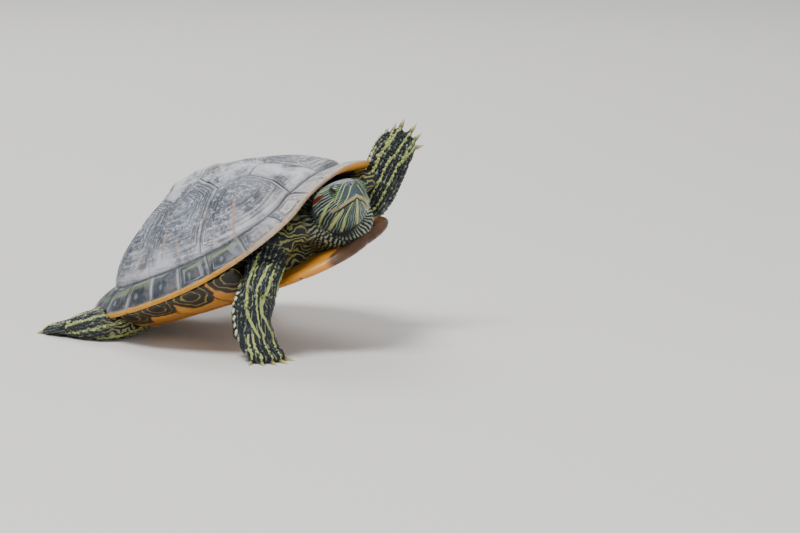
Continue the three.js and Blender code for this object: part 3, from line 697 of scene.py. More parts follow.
dark = facing_down * smoothstep(5, 10, inner_gap) * smoothstep(3.0, 6.0, belly_seam)
store(plastron, "seam_gap", np.where(facing_down > 0.3, belly_seam, FAR))
store(plastron, "dark", np.maximum(dark, 0.95 * smoothstep(82, 90, x + 0.12 * y)))  # and the tip is stained
store(plastron, "blotch", blotch_gap(belly_place))
shade_smooth(plastron)
print("belly plate:", len(plastron.data.polygons), "faces")

# %% [markdown]
# ## Claws
# A claw is a curved cone of horn that starts thick at the toe and thins to a worn point. Each packed claw is
# a short chain of five-sided rings, so its centre line can be read back and a rounder claw drawn along it.

# %% Claws along their solids
CLAW_SIDES, CLAW_RINGS = 14, 13
CLAW_SLIM = 0.85  # of the solid's own width
CLAW_WIDE, CLAW_DEEP = 0.92, 1.08  # a little deeper than wide
claw_shape, CLAW_BASES = Shape(), {}
CLAW_NODES = [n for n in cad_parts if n.startswith("claw")]
for claw in CLAW_NODES:
    co = np.unique(points_of(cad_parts[claw]).round(6), axis=0)
    middle = co.mean(0)
    axis = np.linalg.svd(co - middle)[2][0]
    along = (co - middle) @ axis
    radial = np.linalg.norm(co - middle - along[:, None] * axis, axis=1)
    if radial[along < 0].mean() < radial[along > 0].mean():
        axis, along = -axis, -along
    f = (along - along.min()) / np.ptp(along)
    bins = [f < 0.2, (f >= 0.2) & (f < 0.6), (f >= 0.6) & (f < 0.9), f >= 0.9]
    stops = [co[b].mean(0) for b in bins if b.any()]
    size = [max(np.linalg.norm(co[b] - co[b].mean(0), axis=1).mean(), 2e-4) for b in bins if b.any()]
    CLAW_BASES[claw] = stops[0]
    s = np.linspace(0, 1, len(stops))
    fine = np.linspace(0, 1, CLAW_RINGS)
    line = np.stack([np.interp(fine, s, np.array(stops)[:, k]) for k in range(3)], 1)
    line[1:-1] = (line[:-2] + 2 * line[1:-1] + line[2:]) / 4
    taper = np.sqrt(np.clip(1.02 - fine**1.7, 0.015, 1))  # blunt at the tip
    width = CLAW_SLIM * np.interp(fine, s, size) * taper
    side_way = np.cross(axis, [0, 0, 1.0])
    side_way /= np.linalg.norm(side_way)
    top_way = np.cross(side_way, axis)
    a = np.linspace(0, 2 * math.pi, CLAW_SIDES, endpoint=False)[:, None]
    section = CLAW_WIDE * side_way * np.cos(a) + CLAW_DEEP * top_way * np.sin(a)
    claw_shape.rings([p + w * section for p, w in zip(line, width)])
claws = new_piece("claws", claw_shape.points, claw_shape.faces)
face_outwards(claws)
shade_smooth(claws)
spots = points_of(claws)
spots[:, 2] = np.maximum(spots[:, 2], 0.0001)  # none below the floor
place(claws, spots)
store(claws, "along", np.tile([*np.repeat(fine, CLAW_SIDES), 0.0, 1.0], len(CLAW_NODES)))
print("claws:", len(CLAW_NODES))

# %% [markdown]
# ## One skin
# Only the skin that looks out of the shell's openings is ever seen, so the middle of the trunk is cut away
# and the two cuts are closed. That leaves the fine mesh for the head and the limbs.

# %% Openings filled, limbs fused, trunk cut away
SOFT = [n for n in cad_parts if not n.startswith(("claw", "eye", "carapace", "plastron"))]
FOLDS = [  # middle and radii, in the shell's axes, of the loose skin that fills the openings of the shell
    ((72, 22, 3), (12, 17, 10)), ((66, 38, -2), (12, 13, 10)), ((70, -18, 0), (10, 13, 10)),
    ((60, -34, -2), (12, 13, 10)), ((79, 40, 3), (12, 10, 7.5)), ((-64, 26, -8), (10, 20, 9)),
    ((-64, -26, -8), (10, 20, 9)),
]
folds = Shape()
for middle, radii in FOLDS:
    folds.ball(middle, radii)
folds.points = to_world(folds.points)
skin = fused("skin", SOFT + ["eye_left", "eye_right"], grow_mm=0.45, voxel_mm=1.1, more=folds)
spots = relax(points_of(skin), edges_of(skin), 12)
place(skin, spots)
REGAIN, LOWEST = 0.00025, 0.0002  # metres: what relaxing took from the skin, and how low the skin may come
spots = spots + normals_of(skin) * REGAIN
spots[:, 2] = np.maximum(spots[:, 2], LOWEST)
place(skin, spots)
TRUNK_CUT = (40, 72, -26)  # half length, half width and underside of what is cut away, in mm


def without_middle(obj, half_length, half_width, underside):
    """Drops the trunk between the two openings of the shell and closes what is cut."""
    x, y, z = in_shell(points_of(obj)).T
    gone = (np.abs(x) < half_length) & (z > underside) & (np.abs(y) < half_width)
    bm = bmesh.new()
    bm.from_mesh(obj.data)
    bm.verts.ensure_lookup_table()
    bmesh.ops.delete(bm, geom=[bm.verts[i] for i in np.flatnonzero(gone)], context="VERTS")
    cut = [e for e in bm.edges if e.is_boundary]
    bmesh.ops.holes_fill(bm, edges=cut, sides=0)
    bmesh.ops.recalc_face_normals(bm, faces=bm.faces)
    bm.to_mesh(obj.data)
    bm.free()
    obj.data.update()


without_middle(skin, *TRUNK_CUT)
shade_smooth(skin)
print("skin:", len(skin.data.polygons), "faces over", len(SOFT), "solids")

# %% [markdown]
# ## The head's own axes
# The head turns to its right and doesn't lean with the shell, so its features are drawn in its own axes: x out
# through the nose, y to its left, z up, in millimetres from the point where it meets the neck.

# %% Head axes
HEAD_AT = np.array([86.3, -2.3, 0.4])
HEAD_RIGHT, HEAD_NOSE_UP, HEAD_LEFT_DOWN = (math.radians(d) for d in (28, 8.9, 20))
HEAD_TURN = np.array(
    Matrix.Rotation(-HEAD_RIGHT, 3, "Z") @ Matrix.Rotation(-HEAD_NOSE_UP, 3, "Y")
    @ Matrix.Rotation(-HEAD_LEFT_DOWN, 3, "X")
)


def in_head(world):
    """Millimetres in the head's axes, from metres in the row's frame."""
    return (in_shell(world) - HEAD_AT) @ HEAD_TURN


def head_to_world(points):
    """Metres in the row's frame, from millimetres in the head's axes."""
    return to_world(np.asarray(points) @ HEAD_TURN.T + HEAD_AT)


def finer(obj, chosen):
    """Cuts every face whose points are all chosen into four."""
    bm = bmesh.new()
    bm.from_mesh(obj.data)
    bm.verts.ensure_lookup_table()
    picked = {v for v, take in zip(bm.verts, chosen) if take}
    lines = [e for e in bm.edges if e.verts[0] in picked and e.verts[1] in picked]
    bmesh.ops.subdivide_edges(bm, edges=lines, cuts=1, use_grid_fill=True, smooth=0.6)
    bm.to_mesh(obj.data)
    bm.free()
    obj.data.update()


x, y, z = in_head(points_of(skin)).T
finer(skin, (x > -2) & (np.abs(y) < 24) & (np.abs(z) < 24))
shade_smooth(skin)
print("skin with a finer head:", len(skin.data.polygons), "faces")

# %% [markdown]
# ## Where the limbs run
# Stripes and rows of scales follow a limb, whatever way it bends. So each limb, the neck and the tail get a
# centre line, and every point of the skin is told which one it belongs to, how far along it lies, and at what
# angle round it. The angle is kept as a cosine and a sine, so that it has no jump on the far side.

# %% Centre lines
LIMBS = {  # centre, half width, half depth, and the way the width points, in the shell's axes
    "neck": [
        (40, 4, -9, 15, 13, 0, 1, 0), (58, 5, -9, 18, 15.5, 0, 1, 0), (74, 3.5, -8, 20, 17, 0.1, 1, 0),
        (87, 0.5, -6.5, 19.5, 17.5, 0.35, 1, -0.1), (94.5, -3, -5, 16.8, 15.5, 0.4, 1, -0.2),
    ],
    "tail": [
        (-82, 0, -13, 8, 5.5, 0, 1, 0), (-95, 4, -13, 6.5, 4.6, 0.5, 1, 0), (-100, 15, -13, 5, 4, 1, 0.2, 0),
        (-97, 27, -12.5, 3.4, 2.8, 1, 0, 0), (-91, 37, -12, 1, 0.9, 1, 0, 0),
    ],
    "fore_right": [
        (46, -28, -6, 11, 10, 1, 0.3, 0), (58, -50, -9.5, 12.5, 9.5, 1, 0.3, 0),
        (59.5, -63.5, -17, 12.5, 9.5, 1, 0.25, 0.25), (*standing(63.5, -56, 33), 12.5, 8.5, 1, 0.3, 0.1),
        (*standing(62.5, -57, 21), 12.5, 7, 1, 0.3, 0), (*standing(64, -57.5, 14), 12.5, 6, 1, 0.3, 0),
    ],
    "hind_right": [
        (-52, -26, -11, 12, 9.5, 1, 0, 0.3), (-57, -46, -12, 13.5, 9.5, 1, -0.1, 0.3),
        (*standing(-47, -61, 11), 12.5, 10.5, 1, -0.3, 0), (*standing(-54, -67.5, 10), 11, 9.5, 0.6, -1, 0),
        (*standing(-67, -69, 7.8), 9, 7.2, 0, -1, 0), (*standing(-73, -69, 6.4), 8.5, 5.8, 0, -1, 0),
    ],
    "fore_left": [
        (48, 32, -8, 11, 10, 0, 0, 1), (59, 43, -12, 12, 9.5, -0.2, 0, 1),
        (69, 50.5, -12, 12.5, 9, -0.6, -0.2, 1), (79, 56, -5, 12.5, 8.2, -0.6, -0.2, 0.9),
        (87, 60, 2.5, 12.5, 7, -0.5, -0.2, 0.86), (91.5, 62, 6.5, 12.5, 6, -0.46, -0.2, 0.86),
    ],
    "hind_left": [
        (-52, 26, -10, 12, 9.5, 1, 0, 0.3), (-62, 46, -13, 13, 9.5, 1, 0, 0.3),
        (-62, 60, -20, 12.5, 9.5, 1, 0, 0), (*standing(-48, 70, 22), 10.5, 8.5, 1, -0.2, 0),
        (*standing(-52, 75, 11), 8.5, 7, 0, 1, 0), (*standing(-53, 76.5, 7), 8.5, 6, 0, 1, 0),
    ],
}


def centre_line(rows, steps=14):
    """Close samples of a smooth line through the rows, each with its widths and two axes across it."""
    rows = np.array(rows, float)
    ghost = np.concatenate([[2 * rows[0] - rows[1]], rows, [2 * rows[-1] - rows[-2]]])
    out = []
    for a, b, c, d in zip(ghost, ghost[1:], ghost[2:], ghost[3:]):
        bend, twist = 2 * a - 5 * b + 4 * c - d, 3 * b - a - 3 * c + d  # of a Catmull-Rom spline from b to c
        out += [0.5 * (2 * b + (c - a) * f + bend * f**2 + twist * f**3) for f in np.arange(steps) / steps]
    out = np.array(out + [rows[-1]])
    at, size, wide = out[:, :3], out[:, 3:5], out[:, 5:8]
    ahead = np.gradient(at, axis=0)
    ahead /= np.linalg.norm(ahead, axis=1, keepdims=True)
    wide = wide - ahead * (wide * ahead).sum(1, keepdims=True)
    wide /= np.linalg.norm(wide, axis=1, keepdims=True)
    along = np.concatenate([[0], np.cumsum(np.linalg.norm(np.diff(at, axis=0), axis=1))])
    deep = np.cross(ahead, wide)
    return {"at": at, "size": size, "ahead": ahead, "wide": wide, "deep": deep, "along": along}


LINES = {name: centre_line(rows) for name, rows in LIMBS.items()}
print({name: round(float(line["along"][-1])) for name, line in LINES.items()}, "mm long")


def limb_place(points):
    """For points in shell axes: which limb, mm along it, angle round it, nearness, and mean radius there."""
    names = list(LINES)
    best = np.full(len(points), np.inf)
    which, along, angle, radius = (np.zeros(len(points)) for _ in range(4))
    for number, name in enumerate(names):
        line = LINES[name]
        for chunk in np.array_split(np.arange(len(points)), max(1, len(points) // 8000)):
            p = points[chunk]
            gap = np.linalg.norm(p[:, None] - line["at"], axis=2) / line["size"].max(1)
            near = gap.argmin(1)
            off = p - line["at"][near]
            size = line["size"][near]
            turn_to = np.arctan2((off * line["deep"][near]).sum(1) / size[:, 1],
                                 (off * line["wide"][near]).sum(1) / size[:, 0])
            closer = gap[np.arange(len(p)), near] < best[chunk]
            rows = chunk[closer]
            best[rows] = gap[np.arange(len(p)), near][closer]
            which[rows] = number
            along[rows] = (line["along"][near] + (off * line["ahead"][near]).sum(1))[closer]
            angle[rows] = turn_to[closer]
            arc = np.hypot(size[:, 0] * np.sin(turn_to), size[:, 1] * np.cos(turn_to))
            radius[rows] = arc[closer]
    return np.array(names)[which.astype(int)], along, angle, best, radius


# %% [markdown]
# ## The feet's own axes
# A slider's foot is a flat paddle: five toes in front and four behind, with a web between them. Toes and
# stripes are drawn on it as on a plan, in axes of its own: forward, left and up from the wrist or ankle.

# %% Four feet
def standing_foot(x, y, height, heading, slope):
    """Origin and axes of a foot flat on the floor: forward, left, up."""
    heading, slope = math.radians(heading), math.radians(slope)
    axes = np.array(Matrix.Rotation(heading, 3, "Z") @ Matrix.Rotation(slope, 3, "Y"))
    return standing(x, y, height), (axes.T @ SHELL_TURN).T


FEET = {
    "fore_right": standing_foot(70, -58, 6.5, -22, 14),
    "hind_right": standing_foot(-80, -69, 4.6, 182, 6),
    "hind_left": standing_foot(-56, 80, 4.5, 140, 6),
    "fore_left": (np.array([97.5, 64.8, 11]),
                  np.array([(0.725, 0.47, 0.503), (-0.46, -0.208, 0.863), (0.511, -0.857, 0.066)]).T),
}


def in_foot(points, foot):
    """Millimetres in a foot's axes, from points in the shell's axes."""
    origin, axes = FEET[foot]
    return (points - origin) @ axes


def claws_of(foot):
    """Where each claw of a foot starts, in the foot's axes."""
    bases = [base for name, base in CLAW_BASES.items() if name.startswith("claw_" + foot)]
    return in_foot(in_shell(np.array(bases)), foot)


def toe_paths(foot):
    """Each toe's line in its foot's axes, from under the palm to the claw, with a half width of 1 mm."""
    return [[(-3, y * 0.5, 1), (x * 0.4, y * 0.78, 1), (x + 2, y * 1.03, 1)] for x, y, _ in claws_of(foot)]


print({foot: len(claws_of(foot)) for foot in FEET}, "toes")

# %% Toes under the webs, and a wrinkled elbow
TOE_RISE, WEB_DEPTH, TOE_WIDTH = 0.45, 0.85, 1.3  # mm
ELBOW_STEP = 32  # the sample of the right foreleg's line that lies in its elbow
ELBOW_FOLD, ELBOW_REACH = 0.3, 11  # mm
spots, normals = points_of(skin), normals_of(skin)
shell_place = in_shell(spots)
push, soften = np.zeros(len(spots)), np.zeros(len(spots))
for foot in FEET:
    f = in_foot(shell_place, foot)
    mine = (np.linalg.norm(f, axis=1) < 34) & (np.abs(f[:, 2]) < 12) & (f[:, 0] > -8)
    gap = np.min([line_gap(f[:, :2], path) for path in toe_paths(foot)], axis=0)
    webs = smoothstep(TOE_WIDTH, 3.0, gap) * smoothstep(-3, 3, f[:, 0])
    push += mine * (TOE_RISE * bump(gap, TOE_WIDTH) * smoothstep(-4, 2, f[:, 0]) - WEB_DEPTH * webs)
    wrist = (np.hypot(f[:, 0] + 8, f[:, 1]) < 16) * smoothstep(3, 6, f[:, 2]) * smoothstep(26, 20, f[:, 2])
    soften = np.maximum(soften, wrist)
elbow = LINES["fore_right"]["at"][ELBOW_STEP]
wrinkle = np.sin(shell_place[:, 2] * 1.9 + np.sin(shell_place[:, 0] / 4))
push += ELBOW_FOLD * wrinkle * bump(np.linalg.norm(shell_place - elbow, axis=1), ELBOW_REACH)
place(skin, spots + normals * (push / 1000)[:, None])
spots = relax(points_of(skin), edges_of(skin), 20, hold=soften)
spots[:, 2] = np.maximum(spots[:, 2], LOWEST)
place(skin, spots)

# %% [markdown]
# ## The face
# A slider's upper jaw is edged with tan horn that rises to a notch under the nose. The eye sits in two thick
# lids that close to a slanting slit, and a smooth drum of skin covers the ear behind it. All of this is
# pressed into the skin as a sculptor would: each feature is a distance from a point or a line in the head's
# axes, and the points near it move in or out by a fraction of a millimetre.

# %% Lines of the face
EYE_AT, EYE_RADIUS = np.array([34.0, 7.6, 6.6]), 3.8
LOOK = np.array([0.33, 0.91, -0.02])  # outward through the lids, left side
SLIT = np.array([0.90, -0.33, -0.42])  # along the slit, down to the front
LOOK, SLIT = LOOK / np.linalg.norm(LOOK), SLIT - LOOK * (SLIT @ LOOK) / (LOOK @ LOOK)
SLIT /= np.linalg.norm(SLIT)
LID_UP = np.cross(LOOK, SLIT)
JAW_EDGE = [  # (mm from the middle, height of the upper jaw's edge)
    (0, -1.1), (1.5, -2.3), (4.2, -3.2), (6.6, -4.4), (8.6, -5.4), (10.7, -6.0), (12.5, -6.4),
]
HEAD_CUTS = [  # (x, half width, top, bottom)
    (-5, 11.5, 7, -9.5), (0, 13.4, 9.8, -12), (6, 15.6, 12, -13.8), (13, 17, 13.2, -14),
    (20, 16.2, 13.6, -13), (27, 13.8, 13.4, -11.4), (33, 11.3, 12.8, -9.6), (38, 8.9, 11.8, -7.8),
    (42, 6.8, 10.4, -6.2), (45, 4.4, 8.6, -4.6), (46, 2.4, 6.8, -3),
]


def face_place(h):
    """Head-axis points as eye coordinates (along the slit, up across it, outward), mirrored to the left."""
    off = to_left(h) - EYE_AT
    return off @ SLIT, off @ LID_UP, off @ LOOK


def head_nearness(h):
    """1 on the head's own surface, more outside it."""
    cut_at, *cuts = zip(*HEAD_CUTS)
    half, top, bottom = (np.interp(h[:, 0], cut_at, c) for c in cuts)
    near = np.hypot(h[:, 1] / half, (h[:, 2] - (top + bottom) / 2) / ((top - bottom) / 2))
    snout_tip = (h[:, 0] > 37) & (np.abs(h[:, 1]) < 14) & (np.abs(h[:, 2]) < 16)
    return np.where(snout_tip, np.minimum(near, 1), near)


def above_jaw(h):
    """Millimetres above the edge of the upper jaw."""
    return h[:, 2] - np.interp(np.abs(h[:, 1]), *zip(*JAW_EDGE))


def below_the_chin(h):
    """1 on the throat, under the jaw."""
    return smoothstep(-3, -9, h[:, 2]) * smoothstep(-34, -20, h[:, 2])


def to_left(h):
    """Head-axis points with those of the right side mirrored to the left."""
    return h * [1, 0, 1] + np.abs(h) * [0, 1, 0]


# %% A still finer mesh where the features are small
h = in_head(points_of(skin))
along_slit, across_slit, outward = face_place(h)
fine_spots = (np.hypot(along_slit, across_slit) < 5.4) & (outward > -1) & (h[:, 0] > 24)
fine_spots |= (np.abs(above_jaw(h)) < 1.6) & (h[:, 0] > 26) & (head_nearness(h) < 1.3)
fine_spots |= (h[:, 0] > 43) & (h[:, 2] > 4) & (np.abs(h[:, 1]) < 4)
finer(skin, fine_spots)
print("skin with a finer face:", len(skin.data.polygons), "faces")

# %% Press the features in
NOSTRIL_AT, BROW_AT, DRUM_AT, DRUM_RADIUS = (45.4, 1.55, 7.3), (31.0, 8.6, 11.4), (19.0, 16.0, 2.2), 5.4
NOSTRIL_DEPTH, NOSTRIL_RIM, BROW_RISE, DRUM_RIM, DRUM_SINK = 1.3, 0.18, 0.55, 0.3, 0.35  # mm
MOUTH_DEPTH, BEAK_RISE, CHIN_SINK, NECK_FOLD = 0.95, 0.38, 0.55, 0.25
CREASE_AT, CREASE_DEPTH, ROLL_RISE = 7.2, 1.3, 1.5  # between the chin and the roll of skin behind it
spots, normals = points_of(skin), normals_of(skin)
h = in_head(spots)
x, _, z = h.T
on_head = smoothstep(1.22, 1.06, head_nearness(h)) * smoothstep(-5, 2, x)
above = above_jaw(h)
mouth = smoothstep(26.0, 29.0, x) * on_head
push = -MOUTH_DEPTH * bump(above, 0.42) * mouth
push += BEAK_RISE * smoothstep(0.1, 0.6, above) * smoothstep(3.4, 2.3, above) * mouth
push -= CHIN_SINK * smoothstep(-0.1, -0.9, above) * smoothstep(-8, -3, above) * mouth
mirrored = to_left(h)
nostril, brow_gap, drum = (np.linalg.norm(mirrored - at, axis=1) for at in (NOSTRIL_AT, BROW_AT, DRUM_AT))
push += (NOSTRIL_RIM * bump(nostril - 1.5, 0.6) - NOSTRIL_DEPTH * bump(nostril, 0.75)) * on_head
push += BROW_RISE * bump(brow_gap, 3.2) * on_head
push += (DRUM_RIM * bump(drum - DRUM_RADIUS, 1.0) - DRUM_SINK * bump(drum, 4.0)) * on_head
push += (ROLL_RISE * bump(x - 1.0, 4.0) - CREASE_DEPTH * bump(x - CREASE_AT, 1.3)) * below_the_chin(h)
neck_folds = smoothstep(0.5, -4, x) * smoothstep(-28, -8, x) * bump(z + 2, 14)
push += NECK_FOLD * np.sin(z * 1.1 + 0.6 * x) * neck_folds
spots = spots + normals * (push / 1000)[:, None]

# %% Lids over the eyes
LID_RADIUS, LID_RIM, SLIT_DEPTH = 4.25, 0.32, 1.0  # mm from the eye's middle, and over or under that
LID_FOLDS, FOLD_RISE = 5.2, 0.09  # radians per mm, so about 1.2 mm apart, and mm high
SLIT_LOW = 0.25  # mm that the slit lies below the middle of the lids
h = in_head(spots)
along_slit, across_slit, outward = face_place(h)
eye_mid = EYE_AT * np.where(h[:, 1:2] < 0, [1.0, -1.0, 1.0], [1.0, 1.0, 1.0])
away = h - eye_mid
reach = np.linalg.norm(away, axis=1)
lid = smoothstep(5.3, 3.7, np.hypot(along_slit, across_slit)) * (outward > 0) * (h[:, 0] > 24) * (reach < 8)
opening = smoothstep(1.15, 0.8, np.hypot(along_slit / 3.0, (across_slit + SLIT_LOW) / 1.05))
rim_of_lid = bump(np.hypot(along_slit / 3.2, (across_slit + SLIT_LOW) / 1.45) - 1, 0.28)
lid_fold = FOLD_RISE * np.cos(across_slit * LID_FOLDS) * (1 - rim_of_lid)
lid_reach = LID_RADIUS + LID_RIM * rim_of_lid + lid_fold
lid_reach = lid_reach * (1 - opening) + (LID_RADIUS - SLIT_DEPTH) * opening
moved = eye_mid + away / np.maximum(reach, 0.1)[:, None] * lid_reach[:, None]
h = h + (moved - h) * lid[:, None]
round_eye = smoothstep(6.5, 5.0, np.hypot(along_slit, across_slit)) * (outward > -1) * (h[:, 0] > 24)
stays_sharp = opening + (1 - opening) * 0.7 * rim_of_lid
h = relax(h, edges_of(skin), 8, 0.6, round_eye * (1 - stays_sharp))
place(skin, head_to_world(h))
print("face: lids over", int((lid > 0.5).sum()), "points, slit over", int((opening * lid > 0.5).sum()))

# %% [markdown]
# ## What each spot of skin knows
# A slider's skin is almost black, drawn over with yellow-green lines that run lengthwise: broad ones down the
# chin, cheeks and legs, and hair-fine ones between them. The stripes are curves in the head's and limbs' own
# axes, so they turn with the skin. Each point of the mesh is told how far it lies from the nearest stripe and
# at what angle it sits round its limb, and the material draws the lines from those numbers.

# %% Where the broad stripes run
HEAD_TWIST = ([7, 24, 31, 38.5, 46], [38, 25, 18, 11, 0])  # degrees that the chin's middle turns, along x
CHEEK_STRIPES = [  # (x, degrees from the chin's middle, half width in mm), both sides
    [(46, 0, 0.55), (38, 0, 0.78), (30, 0, 0.74), (20, 0, 0.7), (6, 0, 0.62)],
    [(45.6, 40, 0.27), (40, 41, 0.35), (30, 42, 0.62), (22, 40, 0.9), (8, 37, 0.78)],
    [(37, 61, 0.47), (33, 63, 0.86), (27, 65, 1.01), (18, 67, 0.86), (4, 72, 0.55)],
    [(35.5, 112, 0.35), (31, 107, 0.62), (26, 101, 1.01), (20, 96, 0.9), (12, 94, 0.7), (0, 92, 0.47)],
    [(33, 150, 0.31), (22, 152, 0.47), (6, 150, 0.47)],
]
NOSE_STRIPES = [  # head axes, both sides
    [(45.7, 1.2, 8.2), (45.6, 2.4, 5.2), (44.9, 4.8, 0.4), (42.0, 6.7, -2.6)],
    [(43.4, 4.2, 8.8), (42.6, 6.2, 5.4), (40.7, 7.9, 1.5), (36.6, 10.0, -2.0)],
    [(41.5, 3.6, 10.8), (38.8, 8.9, 3.4), (35.4, 10.9, -0.6)],
]
NOSE_HALF_WIDTH = 0.36
RED_PATCH = [(27.0, 13.2, 5.4, 0.6), (22.0, 15.4, 5.2, 1.7), (15.0, 16.4, 4.6, 1.8), (6.0, 15.4, 4.2, 0.8)]
FORELEG_STRIPES = [  # shell axes, right foreleg: (x, y, z, half width)
    [
        (61.6, -52.4, -0.7, 1.0), (61.6, -62.1, -4.4, 1.3), (59.4, -69, -9.5, 1.35),
        (56.7, -72.4, -15.3, 1.35), (53.7, -75.3, -22, 1.4), (51.2, -76.4, -29.7, 1.35),
    ],
    [
        (70.3, -55.7, -7.1, 0.6), (68.8, -63.3, -9.3, 0.9), (66.5, -68.4, -12.5, 1.0),
        (63.7, -72.2, -17.4, 0.75), (59.0, -73.2, -24.5, 0.7), (57.0, -73.9, -31.1, 0.6),
        (55.3, -75, -36.3, 0.6),
    ],
    [
        (71.1, -52.6, -8.8, 0.6), (71.6, -60.5, -12.1, 0.8), (70.4, -65.6, -16.2, 1.1),
        (67.1, -70.1, -21.4, 1.25), (61.5, -71.2, -26.1, 1.3), (59.4, -72.2, -30.6, 1.2),
        (58.8, -71.9, -33.9, 1.0),
    ],
    [
        (64.1, -60.9, -4.3, 0.35), (62.8, -67.5, -9.1, 0.4), (60.9, -72.3, -15.2, 0.3),
        (57.1, -74.3, -23.5, 0.3),
    ],
    [
        (69.7, -61.9, -8.9, 0.3), (67.9, -67.6, -13.2, 0.35), (64.7, -71.4, -20.1, 0.3),
        (60, -72.4, -27.2, 0.25),
    ],
]
LINES_END = (-2.3, 1.1, 9.0)  # where the first three reach the foot, mm to its left
TOE_STARTS = {"fore_right": (9, 1.1, -2.3, -6.5), "fore_left": (5.5, -1.8, -8), "hind_right": (6, 0, -6),
              "hind_left": (6, 0, -6)}  # where stripes reach each foot, mm to its left
LIMB_STRIPES = {  # degrees round the limb, and half width in mm
    "fore_right": [(-35, 1.1), (-75, 1.2), (-125, 0.9)],
    "fore_left": [
        (64, 0.85), (92, 0.6), (120, 0.7), (-20, 0.8), (-65, 1.0), (-110, 1.0), (-150, 0.9), (34, 0.5),
    ],
    "hind_right": [(-6, 0.6), (38, 0.75), (80, 0.6), (125, 0.7), (-60, 0.8), (-115, 0.7), (170, 0.6)],
    "hind_left": [(0, 0.6), (40, 0.8), (85, 0.7), (130, 0.7), (-50, 0.8), (-100, 0.7), (-150, 0.7)],
    "tail": [(30, 0.5), (90, 0.6), (150, 0.5), (-90, 0.6)],
}


# %% A line laid on the skin
def laid_line_gap(points, line, thinner=1.0):
    """As line_gap, with the line first laid on the skin's own points, so that it holds where they bend."""
    corners = np.array(line, float)
    steps = np.linspace(0, len(corners) - 1, 5 * len(corners))
    dense = np.stack([np.interp(steps, np.arange(len(corners)), corners[:, k]) for k in range(4)], 1)
    for _ in range(2):
        dense[:, :3] = points[np.linalg.norm(dense[:, None, :3] - points, axis=2).argmin(1)]
        dense[1:-1, :3] = (dense[:-2, :3] + 2 * dense[1:-1, :3] + dense[2:, :3]) / 4
    return line_gap(points, dense * [1, 1, 1, thinner])


def degrees_off(angle, middle):
    """How far an angle in degrees lies from another, the short way round, from -180 to 180."""
    return (angle - middle + 180) % 360 - 180


# %% Stripes of the head
spots, normals = points_of(skin), normals_of(skin)
shell_place, h = in_shell(spots), in_head(spots)
limb, along, angle, nearness, radius = limb_place(shell_place)
near = head_nearness(h)
on_head = smoothstep(1.2, 1.08, near) * smoothstep(-7, -2, h[:, 0] - 9.5 * below_the_chin(h))
chin_angle = degrees_off(np.degrees(np.arctan2(h[:, 1], -h[:, 2])), np.interp(h[:, 0], *HEAD_TWIST))
head_reach = np.hypot(h[:, 1], h[:, 2])
broad = np.full(len(h), FAR)
for line in CHEEK_STRIPES:
    for (xa, da, wa), (xb, db, wb) in zip(line, line[1:]):
        f = np.clip((h[:, 0] - xa) / (xb - xa), 0, 1)
        past_end = np.abs(h[:, 0] - (xa + (xb - xa) * f))
        aside = np.radians(np.abs(np.abs(chin_angle) - (da + (db - da) * f))) * head_reach
        gap = np.hypot(aside, past_end) / (wa + (wb - wa) * f)
        broad = np.minimum(broad, np.where(on_head > 0.4, gap, FAR))
mirrored = to_left(h)
on_snout = (on_head > 0.4) & (h[:, 0] > 32)
for line in NOSE_STRIPES:
    line = [(*spot, NOSE_HALF_WIDTH) for spot in line]
    broad[on_snout] = np.minimum(broad[on_snout], laid_line_gap(mirrored[on_snout], line))

# %% Stripes of the legs, feet and tail
PAINTED_WIDTH = 0.74  # the right foreleg's lines spread as they are drawn, so they are laid thinner
near_leg = (limb == "fore_right") & (along > 10)
for number, line in enumerate(FORELEG_STRIPES):
    if number < len(LINES_END):
        origin, axes = FEET["fore_right"]
        line = line + [(*(origin + axes @ [3, LINES_END[number], 10]), 0.8)]
    broad[near_leg] = np.minimum(broad[near_leg], laid_line_gap(shell_place[near_leg], line, PAINTED_WIDTH))
on_foot = np.zeros(len(h))
for foot in FEET:
    f = in_foot(shell_place, foot)
    mine = (limb == foot) & (np.linalg.norm(f, axis=1) < 34)
    on_foot = np.maximum(on_foot, mine * smoothstep(-9, -4, f[:, 0]))
    back_of_foot = normals @ SHELL_TURN @ FEET[foot][1][:, 2] > -0.15
    for x, y, _ in claws_of(foot):
        start = min(TOE_STARTS[foot], key=lambda v: abs(v - y))
        between = (start + 2 * y) / 3
        path = [(-10, start + 1.3, 0.6), (-5, start, 0.6), (0, between, 0.62), (x + 2, y * 1.03, 0.5)]
        drawn = mine & back_of_foot & (np.abs(f[:, 2]) < 11)
        broad = np.where(drawn, np.minimum(broad, line_gap(f[:, :2], path)), broad)
for name, lines in LIMB_STRIPES.items():
    mine = (limb == name) & (on_foot < 0.5) & (on_head < 0.4)
    for degrees, half in lines:
        gap = np.radians(np.abs(degrees_off(np.degrees(angle), degrees))) * radius / half
        broad = np.where(mine & (along > 16), np.minimum(broad, gap), broad)

# %% Regions of the skin
is_neck, is_hind = limb == "neck", np.char.startswith(limb, "hind")
leg_part = ~is_neck * smoothstep(1.45, 1.15, nearness) * smoothstep(12, 24, along) * (1 - on_head)
leg_part = np.maximum(leg_part, on_foot)
neck_part = is_neck * smoothstep(1.5, 1.2, nearness) * smoothstep(28, 40, along) * (1 - on_head)
loose_part = 1 - np.clip(on_head + neck_part + leg_part, 0, 1)
snout_part = on_head * smoothstep(34, 40, h[:, 0] - 0.35 * np.abs(h[:, 1])) * smoothstep(-3, 1, above_jaw(h))
round_angle = np.where(on_head > 0.5, np.radians(chin_angle), angle)
store(skin, "round", np.stack([np.cos(round_angle), np.sin(round_angle), along / 100], 1))
store(skin, "broad", np.minimum(broad, FAR))
store(skin, "region", np.stack([on_head, neck_part, leg_part], 1))
store(skin, "hind", is_hind.astype(float))
store(skin, "thigh", is_hind * smoothstep(52, 42, along) * smoothstep(10, 18, along))
